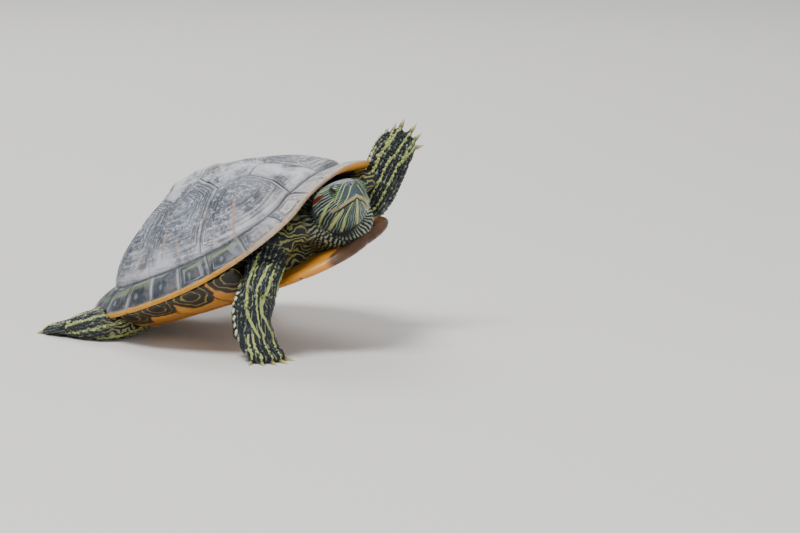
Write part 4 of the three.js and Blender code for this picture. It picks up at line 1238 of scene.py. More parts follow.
# Swirls fade out between 5 and 13 mm up, so the folds high in the openings stay plain dark: painted shade
# under the shell's rim.
store(skin, "loose", smoothstep(13, 5, shell_place[:, 2]) * loose_part)
# The crease under the chin is darkened as painted shade.
store(skin, "crease_shade", bump(h[:, 0] - CREASE_AT, 1.3) * below_the_chin(h) * (np.abs(h[:, 1]) < 16))
store(skin, "snout", snout_part)
store(skin, "jaw", above_jaw(h))
store(skin, "mouth", on_head * smoothstep(28.5, 31.0, h[:, 0]) * (near < 1.25))
store(skin, "red", line_gap(mirrored, RED_PATCH))
along_slit, across_slit, outward = face_place(h)
lids = smoothstep(5.0, 3.6, np.hypot(along_slit, across_slit)) * (outward > 0) * (on_head > 0.4)
# The slit between the lids is filled with painted shade; this is 1 at its edge.
lid_edge = np.hypot(along_slit / 3.5, (across_slit + SLIT_LOW) / 1.25)  # 1 on the dark line round the slit
store(skin, "lids", lids)
store(skin, "slit", across_slit)
store(skin, "lid_edge", np.where(lids > 0.2, lid_edge, FAR))
# Where the painted highlight over the brow lies: the sky's glint on the head's top.
BROW_GLINT_AT, BROW_GLINT_REACH = (31.0, 8.2, 12.4), 3.4
store(skin, "brow_glint", bump(np.linalg.norm(mirrored - BROW_GLINT_AT, axis=1), BROW_GLINT_REACH) * on_head)
print("stripes on", int((broad < 1).sum()), "of", len(h), "points;", len(skin.data.polygons), "faces")

# %% [markdown]
# ## The eyes
# Only a dark slit of each eye shows between the lids. A ball is enough, as long as it sits where the lids
# part and each of its points knows how far it is from the pupil and from the dark bar that runs through it.

# %% Eyes
eye_shape = Shape()
for side in (1, -1):
    eye_shape.ball(EYE_AT * [1, side, 1], EYE_RADIUS, around=40, down=24)
eyes = new_piece("eyes", head_to_world(eye_shape.points), eye_shape.faces)
bar, across_eye, out_of_eye = face_place(in_head(points_of(eyes)))
front_half = out_of_eye > 0
store(eyes, "pupil", np.where(front_half, np.hypot(bar, across_eye + 0.1), FAR))  # mm from the pupil's middle
store(eyes, "bar", np.where(front_half, np.abs(across_eye + 0.1), FAR))
face_outwards(eyes)
shade_smooth(eyes)
print("eyes:", len(eyes.data.polygons), "faces")

# %% [markdown]
# ## Shell finishes
# Shell horn is keratin, like a fingernail: dark and smooth when new, then scratched, dried and bleached by
# sun until it is slate with chalky streaks. It reflects dully, so the eye sees the streaks and not the sky.
# They follow the growth rings, so their noise is stretched along each plate's share of the way in. The
# yellow and black of young horn only survive under the rim and below.

# %% Ringed blotches
RING_RATE = 21.0  # radians: a pale ring for every 0.3 of the way out from a blotch's middle


def ringed(put, gap, ground):
    """Black blotches with pale rings inside, over a ground colour."""
    uneven = put("TexNoise", put("TexCoord", out="Object"), 1000 / 8, 3)
    gap = put("Math", uneven, 0.6, put("Math", gap, 0.12, operation="SUBTRACT"), **TIMES_PLUS)
    dark = put("Mix", put("MapRange", gap, 1.2, 1.12), ground, "#17140f", **COLOURS)
    ring = put("Math", put("Math", gap, RING_RATE, **TIMES), operation="COSINE")
    inside = put("Math", put("MapRange", gap, 0.44, 0.56), put("MapRange", gap, 1.12, 1.04), **TIMES)
    shown = put("Math", put("MapRange", ring, 0.72, 0.97), inside, **TIMES)
    return put("Mix", shown, dark, "#94803d", **COLOURS)


# %% Sun-bleached horn: what each point knows
horn, put = new_material("sun-bleached shell horn", 0.5, 1.54)
here = put("TexCoord", out="Object")
gap, share, tone, kind, under, rim_gap, bearing, side, streak, knob, blotch, to_growth = (
    put("Attribute", attribute_name=name, out="Fac")
    for name in ("seam_gap", "share", "tone", "kind", "under", "rim_gap", "bearing", "side", "streak", "knob",
                 "blotch", "to_growth")
)

# %% Slate, streaks and scratches
cloud = put("TexNoise", here, 1000 / 26, 4, 0.6)
grain = put("TexNoise", here, 1000 / 2.5, 4, 0.7)
at_edge = put("MapRange", kind, 1.4, 1.8)
ring_rate = put("MapRange", at_edge, 0, 1, 19.0, 4.0)  # on the edge plates streaks hardly follow the rings
inward_now = put("Math", tone, 57.0, put("Math", share, ring_rate, **TIMES), **TIMES_PLUS)
along_ring = (38, 38, 38)  # marks about 26 mm long, as the noise has 38 to the metre
ring_place = put("VectorMath", here, along_ring, put("CombineXYZ", inward_now), **TIMES_PLUS)
streaky = put("TexNoise", ring_place, 1.0, 4, 0.62)
slate = put("Mix", put("MapRange", cloud, 0.36, 0.64), "#384150", "#848b9a", **COLOURS)
warm = put("MapRange", put("TexNoise", here, 1000 / 17, 3), 0.52, 0.68, 0, 0.55)
slate = put("Mix", warm, slate, "#867d77", **COLOURS)
scuffed = put("MapRange", put("TexNoise", here, 1000 / 30, 2), 0.42, 0.6, 0.4, 1)  # some areas stay quiet
pale_mark = put("Math", put("MapRange", streaky, 0.52, 0.66), scuffed, **TIMES)
dark_mark = put("Math", put("MapRange", streaky, 0.47, 0.36), scuffed, **TIMES)
slate = put("Mix", pale_mark, slate, "#c4c6ce", **COLOURS)
slate = put("Mix", dark_mark, slate, "#242b37", **COLOURS)
slate = put("Mix", put("MapRange", grain, 0.46, 0.36, 0, 0.6), slate, "#29313d", **COLOURS)
slate = put("Mix", put("MapRange", grain, 0.53, 0.66, 0, 0.8), slate, "#d6d7dc", **COLOURS)

# %% Wrinkles, where the shell is chalky, and a painted sky sheen on the keel
WRINKLE_RATE = 74.0  # radians from seam to growth centre: twelve fine rings
rings_now = put("Math", streaky, 9.0, put("Math", share, WRINKLE_RATE, **TIMES), **TIMES_PLUS)
ring_wave = put("Math", rings_now, operation="SINE")
wrinkled = put("MapRange", put("TexNoise", here, 1000 / 22, 1), 0.42, 0.58)
wrinkled = put("Math", wrinkled, put("MapRange", share, 0.85, 0.5), **TIMES)
wrinkled = put("Math", wrinkled, put("MapRange", at_edge, 0, 1, 1, 0.15), **TIMES)
ring_here = put("Math", put("MapRange", ring_wave, 0.0, 0.9), wrinkled, **TIMES)
cream = put("Math", put("MapRange", bearing, 66, 34), put("MapRange", rim_gap, 44, 6), **TIMES)
cream = put("Math", cream, put("MapRange", streaky, 0.38, 0.64), **TIMES)
slate = put("Mix", cream, slate, "#b3a8a1", **COLOURS)
slate = put("Mix", put("Math", ring_here, 0.7, **TIMES), slate, "#323944", **COLOURS)
patches = put("TexNoise", here, 1000 / 13, 3)
chalky = put("Math", put("MapRange", rim_gap, 30, 15), put("MapRange", at_edge, 0, 1, 1, 0), **TIMES)
chalky = put("Math", chalky, put("MapRange", patches, 0.42, 0.6, 0.1, 0.75), **TIMES)
slate = put("Mix", chalky, slate, "#c3c4ca", **COLOURS)
# Pale dust in patches on the keel plates, and painted sky sheen: the shell's top is lightened as if lit from
# above.
dust_and_sky_sheen = put("MapRange", patches, 0.4, 0.58, 0, 0.7)
dust_and_sky_sheen = put("Math", put("MapRange", kind, 0.6, 0.4), dust_and_sky_sheen, **TIMES)
slate = put("Mix", dust_and_sky_sheen, slate, "#d3d5da", **COLOURS)

# %% Edge plates: olive lines, dark spots with pale middles
olive = put("Math", put("MapRange", rim_gap, 7, 8.5), put("MapRange", rim_gap, 12, 10), **TIMES)
olive = put("Math", olive, put("MapRange", streaky, 0.42, 0.55), **TIMES)
edge_dark = put("Mix", put("MapRange", cloud, 0.4, 0.62), "#1c222b", "#404854", **COLOURS)
edge_dark = put("Mix", put("MapRange", patches, 0.53, 0.66, 0, 0.7), edge_dark, "#665d59", **COLOURS)
edge_dark = put("Mix", put("MapRange", streaky, 0.54, 0.66), edge_dark, "#7d8490", **COLOURS)
edge_dark = put("Mix", olive, edge_dark, "#6f7f5a", **COLOURS)
uneven = put("Math", put("TexNoise", here, 1000 / 5, 3), 6.0, to_growth, **TIMES_PLUS)
edge_dark = put("Mix", put("MapRange", uneven, 7.4, 6.2, 0, 0.55), edge_dark, "#232a31", **COLOURS)
edge_dark = put("Mix", put("MapRange", uneven, 4.6, 3.8, 0, 0.6), edge_dark, "#80898b", **COLOURS)
at_side = put("Math", put("MapRange", bearing, 42, 58), at_edge, **TIMES)
slate = put("Mix", put("Math", at_side, 0.9, **TIMES), slate, edge_dark, **COLOURS)
pale_lip = put("MapRange", patches, 0.4, 0.6, 0.1, 0.6)
pale_lip = put("Math", put("MapRange", gap, 2.4, 0.9), pale_lip, **TIMES)
slate = put("Mix", pale_lip, slate, "#a9aaae", **COLOURS)
slate = put("Mix", put("MapRange", gap, 0.6, 0.2, 0, 0.85), slate, "#41464d", **COLOURS)
slate = put("Mix", put("MapRange", streak, 2.3, 0.3, 0, 0.75), slate, "#a38470", **COLOURS)
slate = put("Mix", put("MapRange", knob, 1.2, 0.5, 0, 0.8), slate, "#b58c4a", **COLOURS)

# %% The coloured rim
front = put("MapRange", bearing, 58, 45)
tan_rim = put("Math", put("MapRange", rim_gap, 2.6, 0.3, 0, 0.85), front, **TIMES)
slate = put("Mix", tan_rim, slate, "#bba281", **COLOURS)
pale_rear = put("Math", put("MapRange", rim_gap, 6.5, 1.0), put("MapRange", bearing, 128, 148), **TIMES)
slate = put("Mix", pale_rear, slate, "#c8a692", **COLOURS)
gold = put("Math", put("MapRange", rim_gap, 0.9, 0.45), put("MapRange", bearing, 46, 58), **TIMES)
gold = put("Math", gold, put("MapRange", bearing, 146, 130), **TIMES)
slate = put("Mix", gold, slate, "#d2982a", **COLOURS)

# %% Gold and black under the rim
gold_horn = put("Mix", put("TexNoise", here, 1000 / 12, 3), "#c97f18", "#eaa62c", **COLOURS)
ragged_rim = put("Math", patches, 2.2, rim_gap, **TIMES_PLUS)
black_under = put("Math", put("MapRange", ragged_rim, 1.8, 2.3), put("MapRange", bearing, 50, 62), **TIMES)
below = ringed(put, blotch, put("Mix", black_under, gold_horn, "#1b1711", **COLOURS))
below = put("Mix", put("MapRange", ragged_rim, 1.5, 1.9), gold_horn, below, **COLOURS)
# More than 7 to 11 mm in from the rim the underside is dark brown: painted shade in the shell's hollow.
below = put("Mix", put("MapRange", rim_gap, 7.0, 11.0), below, "#2c2419", **COLOURS)
bleached = put("Math", put("MapRange", side, 14, 2), put("MapRange", bearing, 66, 54), **TIMES)
bleached = put("Math", bleached, put("MapRange", rim_gap, 1.6, 0.4), **TIMES)
below = put("Mix", bleached, below, "#c4a98c", **COLOURS)
colour = put("Mix", under, slate, below, **COLOURS)
height = put("Math", ring_here, 0.9, put("Math", grain, streaky, operation="ADD"), **TIMES_PLUS)
dress(carapace, horn, colour, height, 0.55, put("MapRange", grain, 0.3, 0.7, 0.42, 0.62))
print("shell horn:", len(horn.node_tree.nodes), "nodes")

# %% [markdown]
# ## Belly finish
# The lower plates are the same horn, but they never see the sun. They stay amber and half clear, with dark
# fields where pigment was laid down, and they are polished as the turtle drags itself over stones. So the
# eye gets a warmer, smoother surface with softer edges than on top. Only the front tip is stained brown.

# %% Belly horn: amber with dark fields
belly, put = new_material("belly horn", 0.4, 1.54)
here = put("TexCoord", out="Object")
gap, dark, blotch = (
    put("Attribute", attribute_name=name, out="Fac") for name in ("seam_gap", "dark", "blotch")
)
amber = put("Mix", put("TexNoise", here, 1000 / 14, 3), "#b9741c", "#e09a34", **COLOURS)
brown = put("Mix", put("TexNoise", here, 1000 / 6, 4), "#2a1a10", "#6b4628", **COLOURS)
stain = put("Math", put("TexNoise", here, 1000 / 10, 3), 0.7, dark, **TIMES_PLUS)
colour = put("Mix", put("MapRange", stain, 0.65, 1.15), amber, brown, **COLOURS)
colour = ringed(put, blotch, colour)
colour = put("Mix", put("MapRange", gap, 0.9, 0.35), colour, "#3a2a18", **COLOURS)
dress(plastron, belly, colour, put("TexNoise", here, 1000 / 3, 5, 0.6), 0.2)
print("belly horn:", len(belly.node_tree.nodes), "nodes")

# %% [markdown]
# ## Skin finish
# Turtle skin is tough and matt under a film of water, so it looks almost black with soft blue lights. The
# marks come from the numbers that each point keeps: broad stripes by distance, hair lines by the angle round
# the limb, and swirls of olive on the loose skin inside the shell's openings.

# %% Hair-fine lines
HEAD_LINES, NECK_BARS, LEG_LINES = 50, 40, 24  # how many run round the head, the neck and each leg
NECK_ROWS = 24.0  # rows of bars in 100 mm of neck, on folds about 4 mm apart
SWIRL_RATE = 2250.0  # radians per metre of height: olive lines about 2.8 mm apart


def fine_lines(put, turn, wander, count, thin, where):
    """Lines along a limb, count of them round it, where a mask lets them show."""
    turn = put("Math", put("Math", turn, wander, operation="ADD"), float(count), **TIMES)
    wave = put("Math", turn, operation="COSINE")
    return put("Math", put("MapRange", wave, thin, thin + 0.35), where, **TIMES)


# %% Wet scaly skin: what each point knows
hide, put = new_material("wet scaly skin", 0.42, 1.4)
here = put("TexCoord", out="Object")
broad, snout, jaw, mouth, red, lids, slit, brow_glint, hind, thigh, fringe, loose, crease_shade, lid_edge = (
    put("Attribute", attribute_name=name, out="Fac")
    for name in ("broad", "snout", "jaw", "mouth", "red", "lids", "slit", "brow_glint", "hind", "thigh", "fringe",
                 "loose", "crease_shade", "lid_edge")
)
region, round_limb = (put("Attribute", attribute_name=name, out="Vector") for name in ("region", "round"))
head_here, neck_here, leg_here = put("SeparateXYZ", region, out=None)
across_now, deep_now, along_now = put("SeparateXYZ", round_limb, out=None)
turn = put("Math", deep_now, across_now, operation="ARCTAN2")
wander = put("MapRange", put("TexNoise", here, 1000 / 7, 2), 0, 1, -0.14, 0.14)
patchy = put("TexNoise", here, 1000 / 3.2, 2)
soft_wander = put("Math", wander, 0.5, **TIMES)

# %% Fine lines of the head, neck and legs
tone_steps = (12, 12, 9)  # tones change from line to line, and along a line every 11 mm
line_tone = put("TexNoise", put("VectorMath", round_limb, tone_steps, **TIMES), 1.0, 2)
line_tone = put("MapRange", line_tone, 0.38, 0.56, 0.3, 1.0)  # no two lines are as bright
head_lines = fine_lines(put, turn, soft_wander, HEAD_LINES, 0.24, head_here)
head_lines = put("Math", head_lines, line_tone, **TIMES)
head_lines = put("Math", head_lines, put("MapRange", snout, 1.15, 0.2), **TIMES)
row = put("Math", wander, 2.5, put("Math", along_now, NECK_ROWS, **TIMES), **TIMES_PLUS)
in_row = put("Math", put("Math", row, operation="FRACT"), 0.5, operation="SUBTRACT")
between_rows = put("MapRange", put("Math", in_row, operation="ABSOLUTE"), 0.5, 0.36)
staggered = put("Math", put("Math", row, operation="FLOOR"), 0.055, wander, **TIMES_PLUS)
neck_lines = fine_lines(put, turn, staggered, NECK_BARS, 0.0, neck_here)  # short bars, one row per fold
neck_lines = put("Math", neck_lines, between_rows, **TIMES)
leg_lines = fine_lines(put, turn, soft_wander, LEG_LINES, 0.6, leg_here)
leg_lines = put("Math", leg_lines, put("MapRange", patchy, 0.4, 0.54, 0.0, 0.62), **TIMES)

# %% Swirls on the loose skin, and the dark ground
upward = put("Math", put("SeparateXYZ", here, out=None)[2], SWIRL_RATE, **TIMES)
bends = (80, 80, 110)  # 80 and 110 to the metre: the lines bend every 12 mm along and every 9 mm up
flowing = put("TexNoise", put("VectorMath", here, bends, **TIMES), 1.0, 2.0, 0.5)
swirl_wave = put("Math", put("Math", flowing, 38.0, upward, **TIMES_PLUS), operation="SINE")
swirls = put("Math", put("MapRange", swirl_wave, 0.2, 0.6), loose, **TIMES)
ground = put("Mix", put("TexNoise", here, 1000 / 5, 3), "#0d1216", "#252e34", **COLOURS)
snout_grey = put("Mix", put("TexNoise", here, 1000 / 4, 3), "#1f2a31", "#46555f", **COLOURS)
ground = put("Mix", snout, ground, snout_grey, **COLOURS)
thin_mask = put("Math", head_lines, neck_lines, operation="MAXIMUM")
thin_mask = put("Math", thin_mask, leg_lines, operation="MAXIMUM")
colour = put("Mix", thin_mask, ground, put("Mix", head_here, "#9da68a", "#8da394", **COLOURS), **COLOURS)
colour = put("Mix", swirls, colour, "#8f8f55", **COLOURS)
marbled = put("Mix", put("MapRange", swirl_wave, 0.0, 0.4), "#1c2320", "#9a9a6e", **COLOURS)
colour = put("Mix", thigh, colour, marbled, **COLOURS)

# %% Broad stripes and jaw
zigzag = put("Math", put("Math", wander, 8.0, **TIMES), hind, **TIMES)
laid = put("Math", put("Math", broad, wander, operation="ADD"), zigzag, operation="ADD")
lime = put("Mix", put("TexNoise", here, 1000 / 3, 2), "#8f9c50", "#bfc77e", **COLOURS)
colour = put("Mix", put("MapRange", laid, 1.15, 0.85), colour, lime, **COLOURS)
uneven_jaw = put("Math", wander, 2.0, jaw, **TIMES_PLUS)
band = put("Math", put("MapRange", uneven_jaw, 0.1, 0.5), put("MapRange", uneven_jaw, 2.7, 1.9), **TIMES)
tan_horn = put("Mix", put("TexNoise", here, 1000 / 2.5, 3), "#857a56", "#b8ab7d", **COLOURS)
colour = put("Mix", put("Math", band, mouth, **TIMES), colour, tan_horn, **COLOURS)
# A near-black line along the mouth's groove, just below the horn: painted shade in the groove.
lip = put("Math", put("MapRange", uneven_jaw, -0.8, -0.45), put("MapRange", uneven_jaw, 0.3, 0.0), **TIMES)
colour = put("Mix", put("Math", lip, mouth, **TIMES), colour, "#1c1a16", **COLOURS)

# %% Ear patch in painted shade, lids with painted shade in the slit, and a painted glint on the brow
# The ear's red is darkened to a dull brick red: painted shade of the shell over it.
ear_red = put("Mix", put("TexNoise", here, 1000 / 3, 2), "#34100a", "#6a2416", **COLOURS)
uneven_red = put("Math", wander, 1.5, red, **TIMES_PLUS)
colour = put("Mix", put("MapRange", uneven_red, 1.15, 0.8), colour, ear_red, **COLOURS)
lid_wave = put("Math", put("Math", slit, LID_FOLDS, **TIMES), operation="SINE")
lid_colour = put("Mix", put("MapRange", lid_wave, -0.2, 0.4), "#1a2a20", "#6f9064", **COLOURS)
colour = put("Mix", lids, colour, lid_colour, **COLOURS)
# Near black inside the slit: painted shade of the recess between the lids.
colour = put("Mix", put("MapRange", lid_edge, 1.12, 0.92), colour, "#060706", **COLOURS)
# Pale grey over the brow: a painted highlight.
colour = put("Mix", put("MapRange", brow_glint, 0.3, 0.85, 0, 0.7), colour, "#b9bcae", **COLOURS)
# Near black along the crease between chin and roll: painted shade.
colour = put("Mix", put("MapRange", crease_shade, 0.5, 0.95), colour, "#0c1012", **COLOURS)

# %% Fringe, folds and wet shine
pale_here = put("MapRange", put("TexNoise", here, 1000 / 7, 1), 0.3, 0.4)
colour = put("Mix", fringe, colour, put("Mix", pale_here, "#46525c", "#d3cfae", **COLOURS), **COLOURS)
cells = put("TexVoronoi", here, Scale=700.0, feature="DISTANCE_TO_EDGE")  # scales of about 1.4 mm
fold_lines = put("MapRange", cells, 0.0, 0.16)
bead = put("Attribute", attribute_name="bead", out="Fac")  # 1 on the raised scales, which have no folds
calm = put("Math", put("Math", head_here, 0.8, **TIMES), bead, operation="MAXIMUM")
relief = put("Mix", calm, fold_lines, 0.8, data_type="FLOAT")
shine = put("MapRange", put("TexNoise", here, 1000 / 6, 2), 0.35, 0.65, 0.3, 0.52)
dress(skin, hide, colour, relief, 0.22, shine)
print("skin:", len(hide.node_tree.nodes), "nodes")

# %% [markdown]
# ## Eye and claw finishes
# A living eye is a wet, clear front over an olive iris with a dark bar through it. Under the lids it shows as
# near black with one sharp highlight, so it is the smoothest finish here. Claws are horn laid down in long
# fibres: olive and dull at the root, paler and half clear where they are worn thin at the tip.

# %% Wet eyes
eye_wet, put = new_material("wet eye", 0.12, 1.38)
pupil, bar = (put("Attribute", attribute_name=name, out="Fac") for name in ("pupil", "bar"))
flecks = put("TexNoise", put("TexCoord", out="Object"), 1000 / 0.8, 2)
# The olive iris is darkened nearly to black as painted shade of the lids over it; the bar and pupil are its
# own.
iris = put("Mix", flecks, "#1c1f10", "#3a3f1e", **COLOURS)
iris = put("Mix", put("MapRange", bar, 0.65, 0.4), iris, "#0d0f0a", **COLOURS)
iris = put("Mix", put("MapRange", pupil, 1.0, 0.85), iris, "#050505", **COLOURS)
# Beyond the pupil's surround the ball is darker still: painted shade under the lids.
iris = put("Mix", put("MapRange", pupil, 2.1, 2.4), iris, "#20231a", **COLOURS)
dress(eyes, eye_wet, iris)

# %% Claw horn
claw_horn, put = new_material("claw horn", 0.38, 1.54)
along_claw = put("Attribute", attribute_name="along", out="Fac")
fibres = put("TexNoise", put("TexCoord", out="Object"), 1000 / 0.7, 3)
colour = put("Mix", put("MapRange", along_claw, 0.05, 0.7), "#565230", "#bab373", **COLOURS)
colour = put("Mix", put("MapRange", fibres, 0.5, 0.7, 0, 0.5), colour, "#86804a", **COLOURS)
dress(claws, claw_horn, colour, fibres, 0.1)
print("eye:", len(eye_wet.node_tree.nodes), "nodes, claw:", len(claw_horn.node_tree.nodes), "nodes")

# %% [markdown]
# ## Scales
# Small horny scales stand in rows round the legs and catch the light like beads, and along the outer edge of
# each forearm they stick out as a pale fringe. Hundreds of like shapes that follow a surface are work for
# Geometry Nodes. The script finds a root on the skin for each, with its size and the way it points, and the
# nodes put one scale on each root. A scale keeps the marks of the skin under it, so the stripes look beaded.

# %% Sizes of the scales, and how a root is taken
ROW, COLUMN = 2.2, 2.15  # mm between scales along a limb and round it
LIMB_SCALE, FOOT_SCALE = (1.35, 1.1, 0.4), (1.3, 1.0, 0.35)  # half length, half width and half height, in mm
FRINGE_SCALE, HAND_FRINGE = (3.0, 1.5, 0.7), (3.0, 1.5, 0.8)
FRINGE_STEP, HAND_STEP = 3.6, 3.8
FRINGE_START = 40  # mm along the foreleg, just above the elbow
LIMB_TILT, FOOT_TILT, FRINGE_TILT = 8, 6, 26  # degrees that a scale's front end lifts off the skin
KEPT = ("round", "broad", "region", "hind", "thigh", "red", "lid_edge")
FRINGE = {"fore_right": (162, 120), "fore_left": (30, 33)}  # degrees round the limb, elbow to wrist
BANDS = [name for name in LIMBS if name != "neck"] + [foot + " foot" for foot in FEET]
skin_spots, skin_normals = points_of(skin), normals_of(skin)
skin_shell, shell_normals = in_shell(skin_spots), skin_normals @ SHELL_TURN
taken, roots = set(), []  # each root: (point's number, forward, size, patch, tilt in degrees, fringe)


def tree_of(chosen):
    """A quick way to find the nearest of the chosen points."""
    found = KDTree(int(chosen.sum()))
    for i in np.flatnonzero(chosen):
        found.insert(skin_shell[i], int(i))
    found.balance()
    return found


def take(nearby, target, reach, *rest):
    """Makes a root of the skin point nearest to a target, unless it is far off or already one."""
    _, i, gap = nearby.find(target)
    if i is not None and gap < reach and i not in taken:
        taken.add(i)
        roots.append((i, *rest))


def patch_at(band, s_now, share):
    """Where a scale's colour is kept on the unwrap: limbs and feet lie side by side as strips."""
    return 0.02 + 0.9 * s_now / 110, (BANDS.index(band) + 0.06 + 0.88 * share) / len(BANDS)


def sample_at(line, s_now):
    """Number of the sample of a centre line that lies s_now mm along it."""
    return min(int(np.searchsorted(line["along"], s_now)), len(line["along"]) - 1)


def on_oval(line, i, w, d, a):
    """The point at angle a of an oval round sample i of a centre line."""
    return line["at"][i] + line["wide"][i] * w * math.cos(a) + line["deep"][i] * d * math.sin(a)


# %% Roots round the limbs, with the fringes of the forelegs
for name in (n for n in LIMBS if n != "neck"):
    line, nearby = LINES[name], tree_of((limb == name) & (along > 14) & (on_foot < 0.6))
    for row, s_now in enumerate(np.arange(18, line["along"][-1] + 4, ROW)):
        i = sample_at(line, s_now)
        w, d = line["size"][i] * 0.97
        around = math.pi * (3 * (w + d) - math.sqrt((3 * w + d) * (w + 3 * d)))  # the oval's length
        count = max(5, round(around / COLUMN))
        for k in range(count):
            share = (k + 0.5 * (row % 2)) / count
            target = on_oval(line, i, w, d, 2 * math.pi * share)
            patch = patch_at(name, s_now, share)
            take(nearby, target, 6.0, line["ahead"][i], LIMB_SCALE, patch, LIMB_TILT, 0.0)
    for s_now in np.arange(FRINGE_START, line["along"][-1] + 3, FRINGE_STEP) if name in FRINGE else ():
        i = sample_at(line, s_now)
        a = math.radians(np.interp(s_now, [42, line["along"][-1]], FRINGE[name]))
        target, patch = on_oval(line, i, *line["size"][i], a), patch_at(name, s_now, 1.03)
        take(nearby, target, 6.0, line["ahead"][i], FRINGE_SCALE, patch, FRINGE_TILT, 1.0)

# %% Roots on the feet
for foot, (origin, axes) in FEET.items():
    nearby = tree_of((on_foot > 0.3) & (shell_normals @ axes[:, 2] > 0.25) & (limb == foot))
    for row, ahead in enumerate(np.arange(-7, 17, 2.1)):
        for aside in np.arange(-15, 15, 2.0) + (row % 2):
            target = origin + axes @ [ahead, aside, 3.0]
            patch = patch_at(foot + " foot", ahead + 12, (aside + 16) / 32)
            take(nearby, target, 3.2, axes[:, 0], FOOT_SCALE, patch, FOOT_TILT, 0.0)
origin, axes = FEET["fore_left"]
nearby = tree_of((limb == "fore_left") & (np.abs((skin_shell - origin) @ axes[:, 2]) < 4))
for ahead in np.arange(-9, 11, HAND_STEP):  # the raised hand shows the fringe along its edge
    target, patch = origin + axes @ [ahead, 15, 0], patch_at("fore_left foot", ahead + 12, 1.03)
    take(nearby, target, 9.0, axes @ [1, 0.3, 0], HAND_FRINGE, patch, FRINGE_TILT, 1.0)
print(len(roots), "roots,", int(sum(r[5] for r in roots)), "of them in the fringes")

# %% Turn each scale to lie on the skin
number = np.array([r[0] for r in roots])
turns = []
for i, ahead, _, _, tilt, _ in roots:
    up = Vector(skin_normals[i])
    forward = Vector(SHELL_TURN @ ahead)
    forward = (forward - up * forward.dot(up)).normalized()
    basis = Matrix((forward, up.cross(forward), up)).transposed()
    turns.append((basis @ Matrix.Rotation(math.radians(-tilt), 3, "Y")).to_euler())
scales = new_piece("scales", skin_spots[number], [])
store(scales, "turn", turns)
store(scales, "size", np.array([r[2] for r in roots]) / 1000)
store(scales, "fringe", np.array([r[5] for r in roots]))
store(scales, "bead", np.ones(len(roots)))
for name in KEPT:
    field = skin.data.attributes[name]
    width, key = (3, "vector") if field.data_type == "FLOAT_VECTOR" else (1, "value")
    values = np.empty(len(skin_spots) * width)
    field.data.foreach_get(key, values)
    store(scales, name, values.reshape(-1, width)[number] if width == 3 else values[number])

# %% One scale on each root
SCALE_SIDES, SCALE_RINGS = 6, 3
group = bpy.data.node_groups.new("scales on skin", "GeometryNodeTree")
for name, kind in (("Geometry", "Geometry"), ("Bulge", "Float"), ("Seed", "Int")):
    group.interface.new_socket(name, in_out="INPUT", socket_type="NodeSocket" + kind)
group.interface.new_socket("Geometry", in_out="OUTPUT", socket_type="NodeSocketGeometry")
put = functools.partial(node, group)
given = put("NodeGroupInput", out=None)
dome = put("GeometryNodeMeshUVSphere", SCALE_SIDES, SCALE_RINGS, 1.0, out="Mesh")
SMALLEST, LARGEST = 0.85, 1.12  # of the size that each root keeps
chance = put("FunctionNodeRandomValue", SMALLEST, LARGEST, Seed=given["Seed"], data_type="FLOAT")
size_kept = put("GeometryNodeInputNamedAttribute", "size", data_type="FLOAT_VECTOR")
turn_kept = put("GeometryNodeInputNamedAttribute", "turn", data_type="FLOAT_VECTOR")
bulge = put("CombineXYZ", 1.0, 1.0, given["Bulge"])
varied = put("VectorMath", size_kept, bulge, **TIMES)
varied = put("VectorMath", varied, Scale=chance, operation="SCALE")
placed = put("GeometryNodeInstanceOnPoints", Points=given["Geometry"], Instance=dome, Rotation=turn_kept,
             Scale=varied)
real = put("GeometryNodeRealizeInstances", placed)
finished = put("GeometryNodeSetMaterial", real, Material=hide)
leaving = group.nodes.new("NodeGroupOutput")
group.links.new(finished, leaving.inputs[0])
sockets = {item.name: item.identifier for item in group.interface.items_tree if item.in_out == "INPUT"}
grow = scales.modifiers.new("scales", "NODES")
grow.node_group = group
grow[sockets["Bulge"]] = 1.0
grow[sockets["Seed"]] = 11  # fixed, so that every run gives the same scales
mesh = bpy.data.meshes.new_from_object(scales.evaluated_get(bpy.context.evaluated_depsgraph_get()))
scales.modifiers.clear()
scales.data = mesh
scale_points = points_of(scales)
scale_points[:, 2] = np.maximum(scale_points[:, 2], 0.0)  # none below the floor
place(scales, scale_points)
shade_smooth(scales)

# %% A small patch of the unwrap for each scale
PATCH = 0.0028  # across, where the whole unwrap is 1
per_scale = len(mesh.vertices) // len(roots)
GOLDEN_ANGLE = math.pi * (3 - math.sqrt(5))  # spreads a scale's points evenly over its patch
places = np.array([r[3] for r in roots])
corner_points = np.empty(len(mesh.loops), int)
mesh.loops.foreach_get("vertex_index", corner_points)
scale_number, in_scale = np.divmod(corner_points, per_scale)
spiral = GOLDEN_ANGLE * in_scale
spread = PATCH / 2 * np.sqrt(in_scale / per_scale)
uv = places[scale_number] + np.stack([np.cos(spiral), np.sin(spiral)], 1) * spread[:, None]
mesh.uv_layers.new(name="OFBake").data.foreach_set("uv", uv.astype(np.float32).ravel())
print("scales:", len(roots), "of", per_scale, "points,", len(mesh.polygons), "faces")

# %% [markdown]
# ## Camera, floor and light
# The camera stands low, in front and to the turtle's right, with a long lens, so the shell keeps its true
# proportions. Big soft lamps above and beside it and a pale floor make a plain studio.

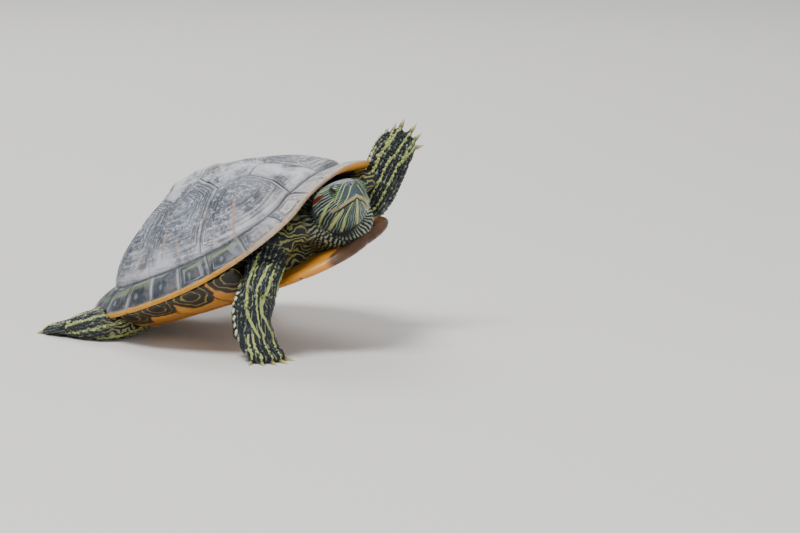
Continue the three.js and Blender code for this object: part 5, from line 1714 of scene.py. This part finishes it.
# %% Camera
RIGHT, UP = np.array([0.7735, 0.6337, 0]), np.array([-0.0991, 0.1210, 0.9877])  # as the camera sees it
BACK = np.array([0.6259, -0.7640, 0.1564])  # from the turtle to the camera
ASIDE, BELOW, DISTANCE = 101.87, 13.09, 2488.66  # mm from the shell's middle
camera_spot = MIDDLE + ASIDE * RIGHT - BELOW * UP + DISTANCE * BACK
camera = bpy.data.objects.new("camera", bpy.data.cameras.new("camera"))
bpy.context.scene.collection.objects.link(camera)
camera.data.lens, camera.data.sensor_width = 180, 36
camera.data.clip_end = 50
facing = Matrix(np.stack([RIGHT, UP, BACK], 1).tolist()).to_4x4()
camera.matrix_world = Matrix.Translation(Vector(camera_spot / 1000)) @ facing
bpy.context.scene.camera = camera
print("camera at", (camera_spot / 1000).round(3))

# %% Floor and surroundings
HALF = 8  # metres of floor each way
corners = [(-HALF, -HALF, 0), (HALF, -HALF, 0), (HALF, HALF, 0), (-HALF, HALF, 0)]
floor = new_piece("floor", corners, [(0, 1, 2, 3)])
paper, put = new_material("matt studio paper", 0.9, 1.45)  # pressed pulp: it scatters light without shine
pulp = put("TexNoise", put("TexCoord", out="Object"), 1000 / 2, 2)  # in flecks about 2 mm across
dress(floor, paper, put("Mix", pulp, "#dcdad6", "#e0dedb", **COLOURS))
world = bpy.data.worlds.new("studio")
world.use_nodes = True
world.node_tree.nodes["Background"].inputs["Color"].default_value = linear("#e6e8ea")
world.node_tree.nodes["Background"].inputs["Strength"].default_value = 0.5
bpy.context.scene.world = world
print("floor", 2 * HALF, "m across")

# %% Three soft lamps
LAMPS = [  # (name, place and size in metres, watts)
    ("key lamp", (0.1, -1.3, 2.5), 1.0, 80), ("fill lamp", (2.3, -0.8, 1.0), 1.6, 20),
    ("rear lamp", (-1.6, 1.2, 1.8), 1.4, 36),
]
for name, at, size, watts in LAMPS:
    lamp = bpy.data.objects.new(name, bpy.data.lights.new(name, "AREA"))
    lamp.data.size, lamp.data.energy = size, watts
    lamp.location = at
    lamp.rotation_euler = (Vector(MIDDLE / 1000) - Vector(at)).to_track_quat("-Z", "Y").to_euler()
    bpy.context.scene.collection.objects.link(lamp)
print("lamps:", [name for name, *_ in LAMPS])

# %% [markdown]
# ## Handing over
# Every piece rides on the one body, and the solids it stands for are hidden.

# %% Ride and replace
PIECES = (  # (piece, the finish it wears, the solids it stands for)
    (carapace, "carapace_horn", ["carapace"]),
    (plastron, "plastron_horn", ["plastron"]),
    (skin, "skin", SOFT),
    (eyes, "eye", ["eye_left", "eye_right"]),
    (claws, "claw_horn", CLAW_NODES),
    (scales, "skin", []),
)
for piece, slot, nodes in PIECES:
    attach(piece, "root")
    if nodes:
        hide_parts(*nodes)
